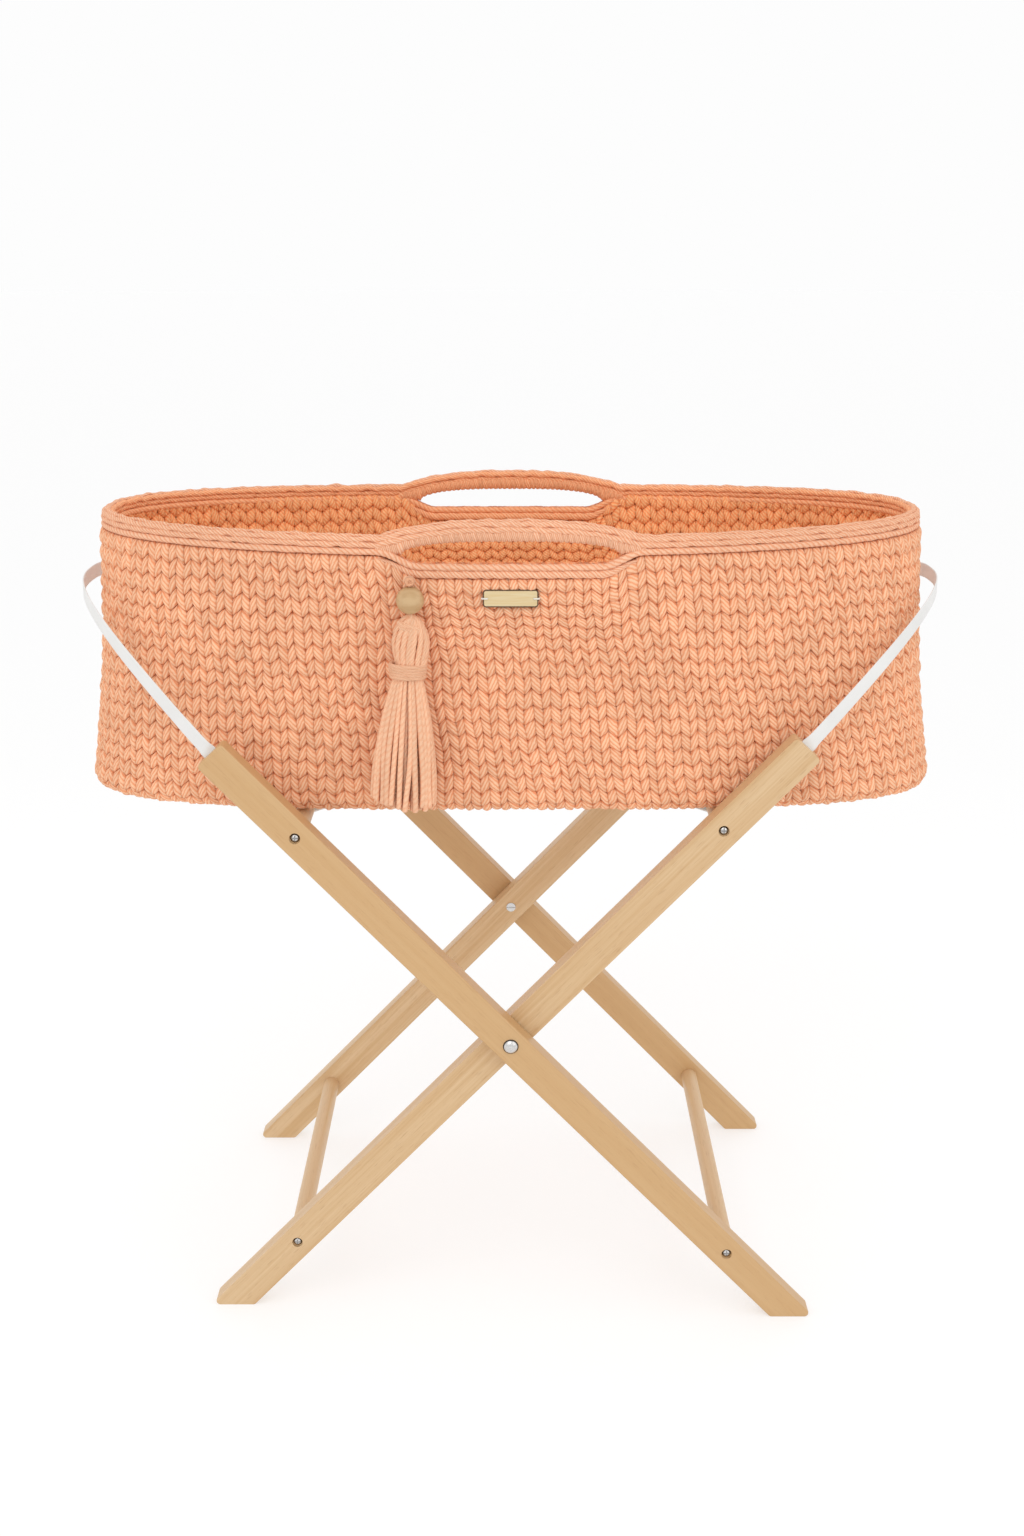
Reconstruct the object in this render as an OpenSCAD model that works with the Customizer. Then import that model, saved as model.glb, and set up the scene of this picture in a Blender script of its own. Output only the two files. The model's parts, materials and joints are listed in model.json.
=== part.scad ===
// Moses basket on its folding stand. Millimetres, +Z up, floor at z = 0.
// The basket's length runs along X and its front faces -Y. The stand's pivot axis is parallel to Y.

/* [Stand] */
// Height of the pivot above the floor
pivot_h = 298; // [270:1:330]
// Slope of an open leg from the floor, in degrees
leg_slope = 46.5; // [42:0.5:51]
// Length of a leg from its pivot to its top
leg_upper = 400; // [370:1:430]
// Width of a leg across its face
leg_w = 32; // [28:1:38]
// Thickness of a leg
leg_t = 20; // [18:1:24]
// Depth of the stand over its outer legs
stand_depth = 410; // [400:1:460]
// Gap between an outer leg and the inner leg beside it
leg_gap = 1.5; // [1.2:0.1:3]
// Radius of the corners at a leg's foot and top
leg_corner_r = 4; // [2:0.5:6]

/* [Rails] */
// Diameter of a rail
rail_d = 18; // [15:1:22]
// Distance from a leg's top down to its upper rail, along the leg
upper_rail_drop = 110; // [95:1:130]
// Distance from the pivot to a lower rail, along the leg
lower_rail_at = 312; // [290:1:330]
// Depth of the socket that a rail sits in
rail_seat = 10; // [7:0.5:11]

/* [Fasteners] */
// Diameter of the pivot bolt's shank
pivot_d = 8; // [6:0.5:10]
// Diameter of the pivot bolt's domed head
pivot_head_d = 15; // [13:0.5:18]
// Height of the pivot bolt's domed head
pivot_head_h = 4; // [3:0.5:5]
// Diameter of the pivot bolt's threaded end
pivot_thread_d = 5; // [4:0.5:5.5]
// Diameter of the slotted nut sunk in an inner leg
nut_d = 10.5; // [10:0.5:13]
// Length of the slotted nut
nut_len = 13; // [10:0.5:15]
// Diameter of the washer between two legs
washer_d = 22; // [18:1:28]
// Diameter of a rail screw's shank
screw_d = 4.5; // [3.5:0.5:6]
// Diameter of a rail screw's head
screw_head_d = 9; // [7.5:0.5:11]
// Height of a rail screw's head
screw_head_h = 2.4; // [1.8:0.1:3]
// Length of a rail screw's shank
screw_len = 45; // [35:1:60]

/* [Straps] */
// Thickness of all webbing
strap_t = 1.6; // [1.2:0.1:2]
// Width of a support strap under the basket
support_strap_w = 40; // [30:1:50]
// Distance from the middle of the stand to a support strap
support_strap_y = 78; // [60:1:100]
// Length of the sewn tail of a support strap, from its rail
support_tail = 56; // [45:1:70]
// Width of an end strap
end_strap_w = 14; // [12:1:20]
// Depth of the slot in a leg's top that holds an end strap
strap_slot = 36; // [28:1:44]
// Rise of an end strap from the top of its legs to its crest
end_strap_rise = 130; // [112:1:145]
// Distance from the end of the wall out to an end strap at its crest
end_strap_room = 15.5; // [12:0.5:27]
// Diameter of the pin that holds an end strap in its slot
strap_pin_d = 3; // [2:0.5:4]

/* [Basket] */
// Length of the knitted wall at its top
basket_len = 808; // [790:1:830]
// How much narrower than the stand the knitted wall is at its top
rim_inset = 46; // [40:1:60]
// Length of the knitted wall at the base
base_len = 844; // [815:1:860]
// How much narrower than the stand the knitted wall is at the base
base_inset = 87; // [70:1:100]
// Height of the knitted wall from the base to the rim
wall_h = 247; // [220:1:270]
// Thickness of the knitted wall and of the knitted base
wall_t = 12; // [9:0.5:15]
// Radius of the bottom edge of the wall
base_edge_r = 11; // [8:0.5:16]
// Depth of the waist in the ends of the wall
waist = 5.5; // [0:0.5:9]
// Rise of the rim at the ends of the basket
rim_sweep = 4.5; // [0:0.5:10]
// Height of the braided rim
rim_h = 18; // [15:1:24]
// Thickness of the braided rim
rim_t = 17; // [14:0.5:20]

/* [Handles] */
// Length of a hand hole
hole_len = 196; // [170:1:220]
// Height of a hand hole at its middle
hole_h = 27; // [24:1:32]
// Rise of the rim over a hand hole
handle_rise = 15; // [11:1:20]
// Length of the level part of a handle
handle_flat = 112; // [90:1:130]
// Length of a handle over both of its slopes
handle_len = 240; // [225:1:270]

/* [Inside] */
// Thickness of the base board
board_t = 5; // [3:0.5:8]
// Thickness of the mattress at its edge
mattress_t = 30; // [20:1:45]
// Rise of the mattress from its edge to its middle
mattress_crown = 8; // [4:1:15]
// How far the mattress's sides draw in between its edges
mattress_draw = 3; // [1:0.5:6]
// Room between the wall and the board or the mattress
inside_room = 6; // [4:0.5:12]

/* [Plate and tassel] */
// Width of the name plate
plate_w = 50; // [40:1:60]
// Height of the name plate
plate_h = 16; // [12:0.5:20]
// Thickness of the name plate
plate_t = 2; // [1.5:0.1:3]
// Distance from the rim down to the middle of the name plate
plate_drop = 38; // [30:1:48]
// Distance of the tassel from the middle of the basket
tassel_x = 90; // [75:1:105]
// Distance from the rim down to the knot that the tassel hangs on
knot_drop = 20; // [14:0.5:26]
// Diameter of the knot's cord
knot_d = 5; // [4:0.5:6]
// Diameter of the wooden bead
bead_d = 25; // [20:0.5:28]
// Length of the tassel's head above its binding
head_len = 41; // [34:1:48]
// Widest width of the tassel's head
head_w = 34; // [28:1:40]
// Width of the tassel's neck inside the binding
neck_w = 28; // [24:0.5:30]
// Length of the tassel's skirt below its binding
skirt_len = 126; // [110:1:140]
// Width of the tassel's skirt at its hem
skirt_w = 62; // [50:1:70]
// Diameter of the yarn wound round the tassel
binding_d = 3.8; // [3:0.1:4]
// Number of turns of the binding
binding_turns = 3; // [2:1:5]

/* [Hidden] */

$fn = 48;

// Clearances: a snug or turning fit, a seat between still pieces, the overrun of a cut
fit = 0.05;
seat = 0.3;
over = 1;

// Colours
beech = "burlywood";
dowel = "tan";
steel = "silver";
webbing = "whitesmoke";
yarn = "sandybrown";
yarn_light = "lightsalmon";

// Faces of the legs, measured from the middle of the stand
outer_face = stand_depth / 2;
outer_inside = outer_face - leg_t;
inner_face = outer_inside - leg_gap;
inner_inside = inner_face - leg_t;

// Places of the rails in the XZ plane
upper_rail_at = leg_upper - upper_rail_drop;
rail_x = upper_rail_at * cos(leg_slope);
rail_z = pivot_h + upper_rail_at * sin(leg_slope);
low_rail_x = lower_rail_at * cos(leg_slope);
low_rail_z = pivot_h - lower_rail_at * sin(leg_slope);

// Rail screws are sunk below the face, so that a folding leg passes over them
screw_sink = 0.6;
screw_ring = 0.8;
screw_cross_w = 1.2;
screw_cross_share = 0.62;
screw_seat = screw_head_h + screw_sink;

// Pivot: the nut's slot, the depth of the nut in its leg and the washer's thickness
nut_slot_w = 1.6;
nut_slot_depth = 1.4;
nut_proud = 0.8;
nut_sunk = nut_len - nut_proud;
washer_t = leg_gap - 2 * fit;
bolt_reach = leg_t + leg_gap + leg_t - nut_sunk;
thread_len = nut_len / 2;

// Support straps wrap the upper rails
wrap_r = rail_d / 2 + seat;
wrap_out_r = wrap_r + strap_t;
wrap_steps = 16;
base_z = rail_z + wrap_out_r + seat;

// Basket: its widths between the legs, and its heights
basket_w = stand_depth - rim_inset;
base_w = stand_depth - base_inset;
wall_top = base_z + wall_h;
rim_low = wall_top + seat;
rim_top = rim_low + rim_h;
// Lean of the wall's sides, as depth out over height
wall_lean = (basket_w - base_w) / 2 / wall_h;

// Plan of the basket: the power of its rounded oval at the base and at the rim, and its sides
base_power = 3.3;
rim_power = 2.3;
plan_sides = 120;
edge_steps = 3;
// Heights of the rings up the outside of the wall and down its inside, as shares of its height
outside_shares = [0.2, 0.45, 0.7, 1];
inside_shares = [1, 0.5, 0];

// The lower lip of a hand hole dips into the wall, and the rim lifts over the rest of the hole
lip_dip = 13;
hole_lift = hole_h - lip_dip - seat;

// End straps: the leg's top, and how far a strap runs straight out of its slot
top_x = leg_upper * cos(leg_slope);
top_z = pivot_h + leg_upper * sin(leg_slope);
strap_lead = 12;
strap_bend = 9;
strap_steps = 36;
strap_bow_power = 2.6;
strap_crest_power = 2.8;
pin_inset = strap_slot / 2;
pin_skin = 4;

// Mattress: sides of its plan, and its edge and its crown as shares of their sizes, inwards and upwards
mattress_sides = 60;
mattress_edge_r = 8;
edge_shares = [[1, 0], [0.25, 0.25], [0, 1]];
crown_shares = [[0.33, 0.6], [0.67, 0.95], [0.94, 1]];

// Plate: the radius of its corners, its thread and how far the thread's hole is from the plate's end
plate_corner = 3;
stitch_d = 1.6;
stitch_inset = 4;

// Tassel: depth of its body against its width, its yarns and the parts of its profile
tassel_depth_share = 0.5;
skirt_yarns = 22;
skirt_groove_share = 0.16;
skirt_steps = 5;
head_top_share = 0.45;
head_belly_share = 0.55;
head_steps = 8;
head_sides = 24;
cord_d = 3.6;
eye_wall = 2.4;
eye_t = 4.6;
knot_head_d = 9;
knot_head_t = 2.5;
bead_room = 1.2;
binding_gap = 0.6;
binding_sides = 6;
binding_rings = 24;
binding_room = 0.3;

// Shapes shared by several pieces

// Points of a polygon with each corner turned into an arc of radius r
function unit(v) = v / norm(v);
function corner_arc(a, b, c, r, steps) =
    let (
        u = unit(a - b),
        v = unit(c - b),
        half = acos(u * v) / 2,
        mid = b + unit(u + v) * r / sin(half),
        from = b + u * r / tan(half) - mid,
        to = b + v * r / tan(half) - mid
    )
    [for (i = [0:steps]) mid + r * unit(from * (1 - i / steps) + to * (i / steps))];
function rounded(points, r, steps = 6) =
    let (n = len(points))
    [for (i = [0:n - 1])
        each corner_arc(points[(i + n - 1) % n], points[i], points[(i + 1) % n], r, steps)];

// A solid from a row of rings with the same number of points, open with end caps or closed on itself
function join(lists) = [for (l = lists) each l];
function skin(rings, points, closed) =
    [for (i = [0:rings - (closed ? 1 : 2)], j = [0:points - 1])
        let (
            k = (i + 1) % rings,
            m = (j + 1) % points,
            a = i * points + j,
            b = i * points + m,
            c = k * points + m,
            d = k * points + j
        )
        each [[a, c, b], [a, d, c]]];
function caps(rings, points) =
    let (last = (rings - 1) * points)
    [for (j = [1:points - 2]) each [[0, j, j + 1], [last, last + j + 1, last + j]]];
module loft(rings) {
    n = len(rings);
    m = len(rings[0]);
    polyhedron(join(rings), concat(skin(n, m, false), caps(n, m)));
}
module hoop(rings) {
    n = len(rings);
    m = len(rings[0]);
    polyhedron(join(rings), skin(n, m, true));
}

// Rounded oval of half length a and half width b, at an even turn t
function oval(a, b, power, t) =
    let (
        turn = atan2(b * sin(t), a * cos(t)),
        r = pow(pow(abs(cos(turn) / a), power) + pow(abs(sin(turn) / b), power), -1 / power)
    )
    [r * cos(turn), r * sin(turn)];
function oval_ring(a, b, power, sides) = [for (i = [0:sides - 1]) oval(a, b, power, 360 * i / sides)];

// Half length and half width of the outside of the wall at a share of its height
function wall_a(share) = base_len / 2 + (basket_len - base_len) / 2 * share - waist * sin(180 * share);
function wall_b(share) = base_w / 2 + (basket_w - base_w) / 2 * share;
function wall_share(z) = (z - base_z) / wall_h;
// Power of the plan at a share of the wall's height
function plan_power(share) = base_power + (rim_power - base_power) * max(0, min(1, share));
// Depth of the outside of the wall at x and z
function wall_y(x, z) =
    let (a = wall_a(wall_share(z)), b = wall_b(wall_share(z)), power = plan_power(wall_share(z)))
    b * pow(1 - pow(abs(x) / a, power), 1 / power);
// Rise of the top of the wall and of the rim at turn t
function sweep(t) =
    let (a = wall_a(1) - wall_t / 2, mid = oval(a, wall_b(1) - wall_t / 2, rim_power, t))
    rim_sweep * pow(mid.x / a, 2);

// 1 over the middle of a handle and 0 past its slopes
function smooth(v) = let (c = max(0, min(1, v))) c * c * (3 - 2 * c);
function handle_share(x) = smooth((handle_len / 2 - abs(x)) / ((handle_len - handle_flat) / 2));
function hole_share(x) =
    let (s = min(1, abs(x) / (hole_len / 2)))
    pow(1 - pow(s, 3), 1 / 2);

// Legs and rails

// Turn a piece that is drawn along +X, with the pivot at its origin, to the slope of a leg
module on_slope() {
    translate([0, 0, pivot_h]) rotate([0, -leg_slope, 0]) children();
}
// A hole along Y at a distance along the leg, sunk from the leg's outer face or from its inner one
module bore(at, face, d, depth) {
    translate([at, -face - over, 0]) rotate([-90, 0, 0]) cylinder(d = d, h = depth + over);
}
module bore_from_inside(at, inside, d, depth) {
    translate([at, -inside - depth, 0]) rotate([-90, 0, 0]) cylinder(d = d, h = depth + over);
}

// A leg at the front that rises to +X, with its foot cut level
module leg(face, nut_bore) {
    inside = face - leg_t;
    function foot(across) = -(pivot_h + across * cos(leg_slope)) / sin(leg_slope);
    half = leg_w / 2;
    outline = [[foot(-half), -half], [leg_upper, -half], [leg_upper, half], [foot(half), half]];
    slot_t = strap_t + 2 * fit;
    slot_w = end_strap_w + 2 * fit;
    on_slope() difference() {
        translate([0, -inside, 0]) rotate([90, 0, 0])
            linear_extrude(leg_t) polygon(rounded(outline, leg_corner_r));
        bore(0, face, pivot_d + 2 * fit, leg_t + over);
        if (nut_bore > 0) bore_from_inside(0, inside, nut_bore, nut_sunk);
        for (at = [upper_rail_at, -lower_rail_at]) {
            bore(at, face, screw_head_d + 2 * screw_ring, screw_seat);
            bore(at, face, screw_d + 2 * fit, leg_t);
            bore_from_inside(at, inside, rail_d + 2 * fit, rail_seat);
        }
        translate([leg_upper - strap_slot, -face + leg_t / 2 - slot_t / 2, -slot_w / 2])
            cube([strap_slot + over, slot_t, slot_w]);
        bore_from_inside(leg_upper - pin_inset, inside, strap_pin_d + 2 * fit, leg_t - pin_skin);
    }
}
module outer_leg() {
    mirror([1, 0, 0]) leg(outer_face, 0);
}
module inner_leg() {
    leg(inner_face, nut_d + 2 * fit);
}

module rail(x, z, inside) {
    reach = inside + rail_seat - fit;
    pilot = screw_len - (leg_t - rail_seat - screw_seat) + over;
    translate([x, 0, z]) rotate([90, 0, 0]) difference() {
        cylinder(d = rail_d, h = 2 * reach, center = true);
        for (side = [0, 1]) mirror([0, 0, side])
            translate([0, 0, reach - pilot]) cylinder(d = screw_d + 2 * fit, h = pilot + over);
    }
}

// Ball segment with a flat base of diameter d and height h, standing on z = 0
module dome(d, h) {
    r = (d * d / 4 + h * h) / (2 * h);
    intersection() {
        translate([0, 0, h - r]) sphere(r);
        cylinder(d = d + over, h = h + over);
    }
}

// A rail screw drawn along +Y from its head at a face at the front
module rail_screw(x, z, face) {
    translate([x, -face + screw_seat, z]) rotate([90, 0, 0]) {
        difference() {
            dome(screw_head_d, screw_head_h);
            for (turn = [0, 90]) rotate([0, 0, turn])
                translate([-screw_head_d * screw_cross_share / 2, -screw_cross_w / 2, screw_head_h / 2])
                    cube([screw_head_d * screw_cross_share, screw_cross_w, screw_head_h]);
        }
        mirror([0, 0, 1]) cylinder(d = screw_d, h = screw_len);
    }
}
module rail_screws(face, side) {
    for (back = [0, 1]) mirror([0, back, 0]) {
        rail_screw(side * rail_x, rail_z, face);
        rail_screw(-side * low_rail_x, low_rail_z, face);
    }
}

module both_faces() {
    for (back = [0, 1]) mirror([0, back, 0]) children();
}
module front_outer_leg() {
    color(beech) outer_leg();
}
module back_outer_leg() {
    color(beech) mirror([0, 1, 0]) outer_leg();
}
module front_inner_leg() {
    color(beech) inner_leg();
}
module back_inner_leg() {
    color(beech) mirror([0, 1, 0]) inner_leg();
}
module left_upper_rail() {
    color(dowel) rail(-rail_x, rail_z, outer_inside);
}
module right_lower_rail() {
    color(dowel) rail(low_rail_x, low_rail_z, outer_inside);
}
module right_upper_rail() {
    color(dowel) rail(rail_x, rail_z, inner_inside);
}
module left_lower_rail() {
    color(dowel) rail(-low_rail_x, low_rail_z, inner_inside);
}
module outer_rail_screws() {
    color(steel) rail_screws(outer_face, -1);
}
module inner_rail_screws() {
    color(steel) rail_screws(inner_face, 1);
}

// Pivots

module pivot_bolts() {
    color(steel) both_faces() translate([0, -outer_face, pivot_h]) rotate([90, 0, 0]) {
        dome(pivot_head_d, pivot_head_h);
        mirror([0, 0, 1]) cylinder(d = pivot_d, h = bolt_reach);
        mirror([0, 0, 1]) cylinder(d = pivot_thread_d, h = bolt_reach + thread_len);
    }
}
module pivot_nuts() {
    hole = thread_len + over;
    color(steel) both_faces() translate([0, -outer_face + bolt_reach, pivot_h]) rotate([-90, 0, 0])
        difference() {
            cylinder(d = nut_d, h = nut_len);
            translate([0, 0, -over]) cylinder(d = pivot_thread_d + 2 * fit, h = hole + over);
            translate([-nut_d, -nut_slot_w / 2, nut_len - nut_slot_depth])
                cube([2 * nut_d, nut_slot_w, nut_slot_depth + over]);
        }
}
module pivot_washers() {
    color(steel) both_faces() translate([0, -outer_inside + fit, pivot_h]) rotate([-90, 0, 0])
        difference() {
            cylinder(d = washer_d, h = washer_t);
            translate([0, 0, -over]) cylinder(d = pivot_d + 2 * fit, h = washer_t + 2 * over);
        }
}

// Straps

// Fall of a bowed strap from 0 at the middle to 1 at the far side
function bow_share(y, far, power) = pow(abs(y) / far, power);
// Route of an end strap at +X between slots at -slot_y and slot_y
function strap_route(slot_y) =
    let (
        along = [cos(leg_slope), 0, sin(leg_slope)],
        top = [top_x, 0, top_z],
        out = top + strap_lead * along,
        crest_z = top_z + end_strap_rise,
        end_x = wall_a(wall_share(crest_z)) + end_strap_room,
        far = slot_y - strap_bend,
        hang = [for (i = [0:strap_steps])
            let (y = far * (2 * i / strap_steps - 1))
            [
                end_x - (end_x - out.x) * bow_share(y, slot_y, strap_bow_power),
                y,
                crest_z - (crest_z - out.z) * bow_share(y, slot_y, strap_crest_power)
            ]],
        across = [0, slot_y, 0],
        foot = top - (strap_slot - fit) * along
    )
    concat([foot - across, top - across, out - across - strap_bend / 2 * along], hang,
        [out + across - strap_bend / 2 * along, top + across, foot + across]);
// Webbing along a route, with its face upright
function strap_ring(p, ahead) =
    let (
        flat = unit(cross(ahead, [0, 0, 1])) * strap_t / 2,
        wide = unit(cross(flat, ahead)) * end_strap_w / 2
    )
    [p - flat - wide, p + flat - wide, p + flat + wide, p - flat + wide];
module end_strap(slot_y) {
    route = strap_route(slot_y);
    last = len(route) - 1;
    rings = [for (i = [0:last])
        let (
            before = route[max(0, i - 1)],
            after = route[min(last, i + 1)],
            into = unit(route[i] - (i == 0 ? 2 * route[0] - route[1] : before)),
            onward = unit((i == last ? 2 * route[last] - route[last - 1] : after) - route[i])
        )
        strap_ring(route[i], unit(into + onward))];
    difference() {
        loft(rings);
        strap_pin_holes(slot_y);
    }
}
module at_pin(slot_y) {
    both_faces() on_slope() translate([leg_upper - pin_inset, -slot_y, 0]) rotate([90, 0, 0]) children();
}
module strap_pin_holes(slot_y) {
    at_pin(slot_y) cylinder(d = strap_pin_d + 2 * fit, h = 2 * (strap_t + over), center = true);
}
// Pins driven in from the hidden face of each leg
module strap_pins(slot_y) {
    reach = leg_t / 2 - pin_skin - fit;
    at_pin(slot_y) translate([0, 0, -leg_t / 2]) cylinder(d = strap_pin_d, h = leg_t / 2 + reach);
}

outer_slot_y = outer_face - leg_t / 2;
inner_slot_y = inner_face - leg_t / 2;
module left_end_strap() {
    color(webbing) mirror([1, 0, 0]) end_strap(outer_slot_y);
}
module right_end_strap() {
    color(webbing) end_strap(inner_slot_y);
}
module left_strap_pins() {
    color(steel) mirror([1, 0, 0]) strap_pins(outer_slot_y);
}
module right_strap_pins() {
    color(steel) strap_pins(inner_slot_y);
}

// Arc of webbing of radius r round the rail at +X, from its top to where its tail leaves for the tip
function wrap_arc(r, tip) =
    let (turn = 180 + 2 * atan(r / tip))
    [for (i = [0:wrap_steps])
        let (t = 90 - turn * i / wrap_steps)
        [rail_x + r * cos(t), rail_z + r * sin(t)]];
// Where the tail's underside meets the underside of the level run
function tail_end(r, tip) =
    let (lean = 2 * atan(r / tip), s = strap_t / (r + r * cos(lean)))
    [rail_x - tip + s * (tip - r * sin(lean)), rail_z + r - strap_t];
function left_of(points) = [for (i = [len(points) - 1:-1:0]) [-points[i].x, points[i].y]];
module support_strap() {
    half = support_strap_w / 2;
    inner_tip = support_tail - 2 * wrap_out_r;
    right = concat(wrap_arc(wrap_out_r, support_tail), [tail_end(wrap_out_r, support_tail)]);
    loop = concat(wrap_arc(wrap_r, inner_tip), [[rail_x - inner_tip, rail_z + wrap_r]]);
    rotate([90, 0, 0]) translate([0, 0, -half]) linear_extrude(support_strap_w) difference() {
        polygon(concat(right, left_of(right)));
        polygon(loop);
        polygon(left_of(loop));
    }
}
module front_support_strap() {
    color(webbing) translate([0, -support_strap_y, 0]) support_strap();
}
module back_support_strap() {
    color(webbing) translate([0, support_strap_y, 0]) support_strap();
}

// Knitted basket

// Section of the wall at turn t: up the outside, with a rounded bottom edge, and down the inside
function wall_section(t) =
    let (
        edge = [for (i = [0:edge_steps])
            let (turn = 90 * i / edge_steps)
            [base_edge_r * (1 - sin(turn)), base_edge_r * (1 - cos(turn))]],
        outside = concat(
            [for (e = edge) let (s = e.y / wall_h) [wall_a(s) - e.x, wall_b(s) - e.x, e.y]],
            [for (s = outside_shares) [wall_a(s), wall_b(s), wall_h * s]]
        ),
        inside = [for (s = inside_shares) [wall_a(s) - wall_t, wall_b(s) - wall_t, wall_h * s]]
    )
    [for (q = concat(outside, inside))
        let (
            p = oval(q.x, q.y, plan_power(q.z / wall_h), t),
            rise = q.z == wall_h ? sweep(t) : 0,
            dip = q.z == wall_h ? lip_dip * hole_share(p.x) : 0
        )
        [p.x, p.y * (1 - dip * wall_lean / q.y), base_z + q.z + rise - dip]];
module knit_wall() {
    color(yarn) hoop([for (i = [0:plan_sides - 1]) wall_section(360 * i / plan_sides)]);
}

// Section of the rim at turn t: an eight-sided band that lifts over the hand holes
rim_corner_shares = [
    [-1, -0.5], [-0.5, -1], [0.5, -1], [1, -0.5], [1, 0.5], [0.5, 1], [-0.5, 1], [-1, 0.5]
];
function rim_section(t) =
    let (
        a = wall_a(1) - wall_t / 2,
        b = wall_b(1) - wall_t / 2,
        mid = oval(a, b, rim_power, t),
        low = rim_low + sweep(t) + hole_lift * hole_share(mid.x),
        high = rim_top + sweep(t) + handle_rise * handle_share(mid.x)
    )
    [for (c = rim_corner_shares)
        let (p = oval(a + c.x * rim_t / 2, b + c.x * rim_t / 2, rim_power, t))
        [p.x, p.y, (low + high) / 2 + c.y * (high - low) / 2]];
module knit_rim() {
    color(yarn_light) hoop([for (i = [0:plan_sides - 1]) rim_section(360 * i / plan_sides)]);
}

// Half length and half width that fit inside the wall from z to z + t, with a room all round
function inside_a(room, z, t) = min(wall_a(wall_share(z)), wall_a(wall_share(z + t))) - wall_t - room;
function inside_b(room, z, t) = min(wall_b(wall_share(z)), wall_b(wall_share(z + t))) - wall_t - room;
module inside_oval(room, z, t) {
    translate([0, 0, z]) linear_extrude(t)
        polygon(oval_ring(inside_a(room, z, t), inside_b(room, z, t), plan_power(wall_share(z + t)),
            plan_sides));
}
board_z = base_z + wall_t + seat;
mattress_z = board_z + board_t + seat;
module knit_base() {
    color(yarn) inside_oval(seat, base_z, wall_t);
}
module base_board() {
    color("peru") inside_oval(inside_room, board_z, board_t);
}

// Mattress with a crowned top and sides that draw in between its two edges
module mattress() {
    top = mattress_t;
    a = inside_a(inside_room, mattress_z, top);
    b = inside_b(inside_room, mattress_z, top);
    power = plan_power(wall_share(mattress_z + top));
    r = mattress_edge_r;
    // In from the side, and up from the board
    outline = concat(
        [for (e = edge_shares) r * e],
        [[mattress_draw, top / 2]],
        [for (i = [len(edge_shares) - 1:-1:0]) [r * edge_shares[i].x, top - r * edge_shares[i].y]],
        [for (c = crown_shares) [b * c.x, top + mattress_crown * c.y]]
    );
    color("ivory") loft([for (q = outline)
        [for (p = oval_ring(a - q.x, b - q.x, power, mattress_sides)) [p.x, p.y, mattress_z + q.y]]]);
}

// Name plate, left plain

plate_z = rim_low - plate_drop;
// The wall leans out as it rises, so the plate's top edge is the one that lies on it
plate_y = -wall_y(0, plate_z + plate_h / 2) - seat;
// At the hole in each end of the plate, with +X to the plate's end
module plate_ends() {
    for (side = [0, 1]) mirror([side, 0, 0])
        translate([plate_w / 2 - stitch_inset, plate_y, plate_z]) children();
}
module name_plate() {
    half_w = plate_w / 2;
    half_h = plate_h / 2;
    outline = [[-half_w, -half_h], [half_w, -half_h], [half_w, half_h], [-half_w, half_h]];
    color("wheat") difference() {
        translate([0, plate_y, plate_z]) rotate([90, 0, 0])
            linear_extrude(plate_t) polygon(rounded(outline, plate_corner));
        plate_ends() translate([0, over, 0]) rotate([90, 0, 0])
            cylinder(d = stitch_d + 2 * fit, h = plate_t + 2 * over);
    }
}
// Two loops of thread, each out through a hole of the plate and back round the plate's end
module plate_stitches() {
    reach = stitch_inset + fit + stitch_d / 2;
    proud = plate_t + fit + stitch_d / 2;
    color("linen") plate_ends() {
        for (x = [0, reach]) translate([x, 0, 0]) rotate([90, 0, 0]) cylinder(d = stitch_d, h = proud);
        translate([-stitch_d / 2, -proud, 0]) rotate([0, 90, 0])
            cylinder(d = stitch_d, h = reach + stitch_d);
    }
}

// Tassel

knot_z = rim_low - knot_drop;
knot_wall = wall_y(tassel_x - knot_d / 2, knot_z + knot_d / 2);
tassel_y = -wall_y(tassel_x - bead_d / 2, knot_z) - bead_room - bead_d / 2;
eye_d = knot_d + 2 * fit + 2 * eye_wall;
bead_z = knot_z - eye_d / 2 - bead_d / 2;
head_z = bead_z - bead_d / 2 - seat;
pitch = binding_d + binding_gap;
binding_h = binding_turns * pitch + binding_d;
neck_z = head_z - head_len;
skirt_z = neck_z - binding_h;
split_z = (neck_z + skirt_z) / 2;

module at_knot() {
    translate([-tassel_x, 0, knot_z]) rotate([90, 0, 0]) children();
}
module at_tassel() {
    translate([-tassel_x, tassel_y, 0]) children();
}
// Stub of cord sewn to the wall, with a knot at its end
module tassel_knot() {
    start = knot_wall + seat;
    stop = -tassel_y + eye_t / 2 + seat;
    color(yarn) at_knot() {
        translate([0, 0, start]) cylinder(d = knot_d, h = stop - start + knot_head_t);
        translate([0, 0, stop]) cylinder(d = knot_head_d, h = knot_head_t);
    }
}
// Loop round the knot and the cord that runs through the bead
module tassel_cord() {
    color(yarn) difference() {
        union() {
            at_knot() translate([0, 0, -tassel_y - eye_t / 2]) cylinder(d = eye_d, h = eye_t);
            at_tassel() translate([0, 0, head_z])
                cylinder(d = cord_d, h = knot_z - head_z - eye_d / 2 + eye_wall / 2);
        }
        at_knot() translate([0, 0, -tassel_y - eye_t]) cylinder(d = knot_d + 2 * fit, h = 2 * eye_t);
    }
}
module tassel_bead() {
    color("burlywood") at_tassel() translate([0, 0, bead_z]) difference() {
        sphere(d = bead_d);
        cylinder(d = cord_d + 2 * fit, h = bead_d + over, center = true);
    }
}

function tassel_ring(w, z, sides) =
    [for (i = [0:sides - 1]) let (t = 360 * i / sides)
        [w / 2 * cos(t), tassel_depth_share * w / 2 * sin(t), z]];
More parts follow.
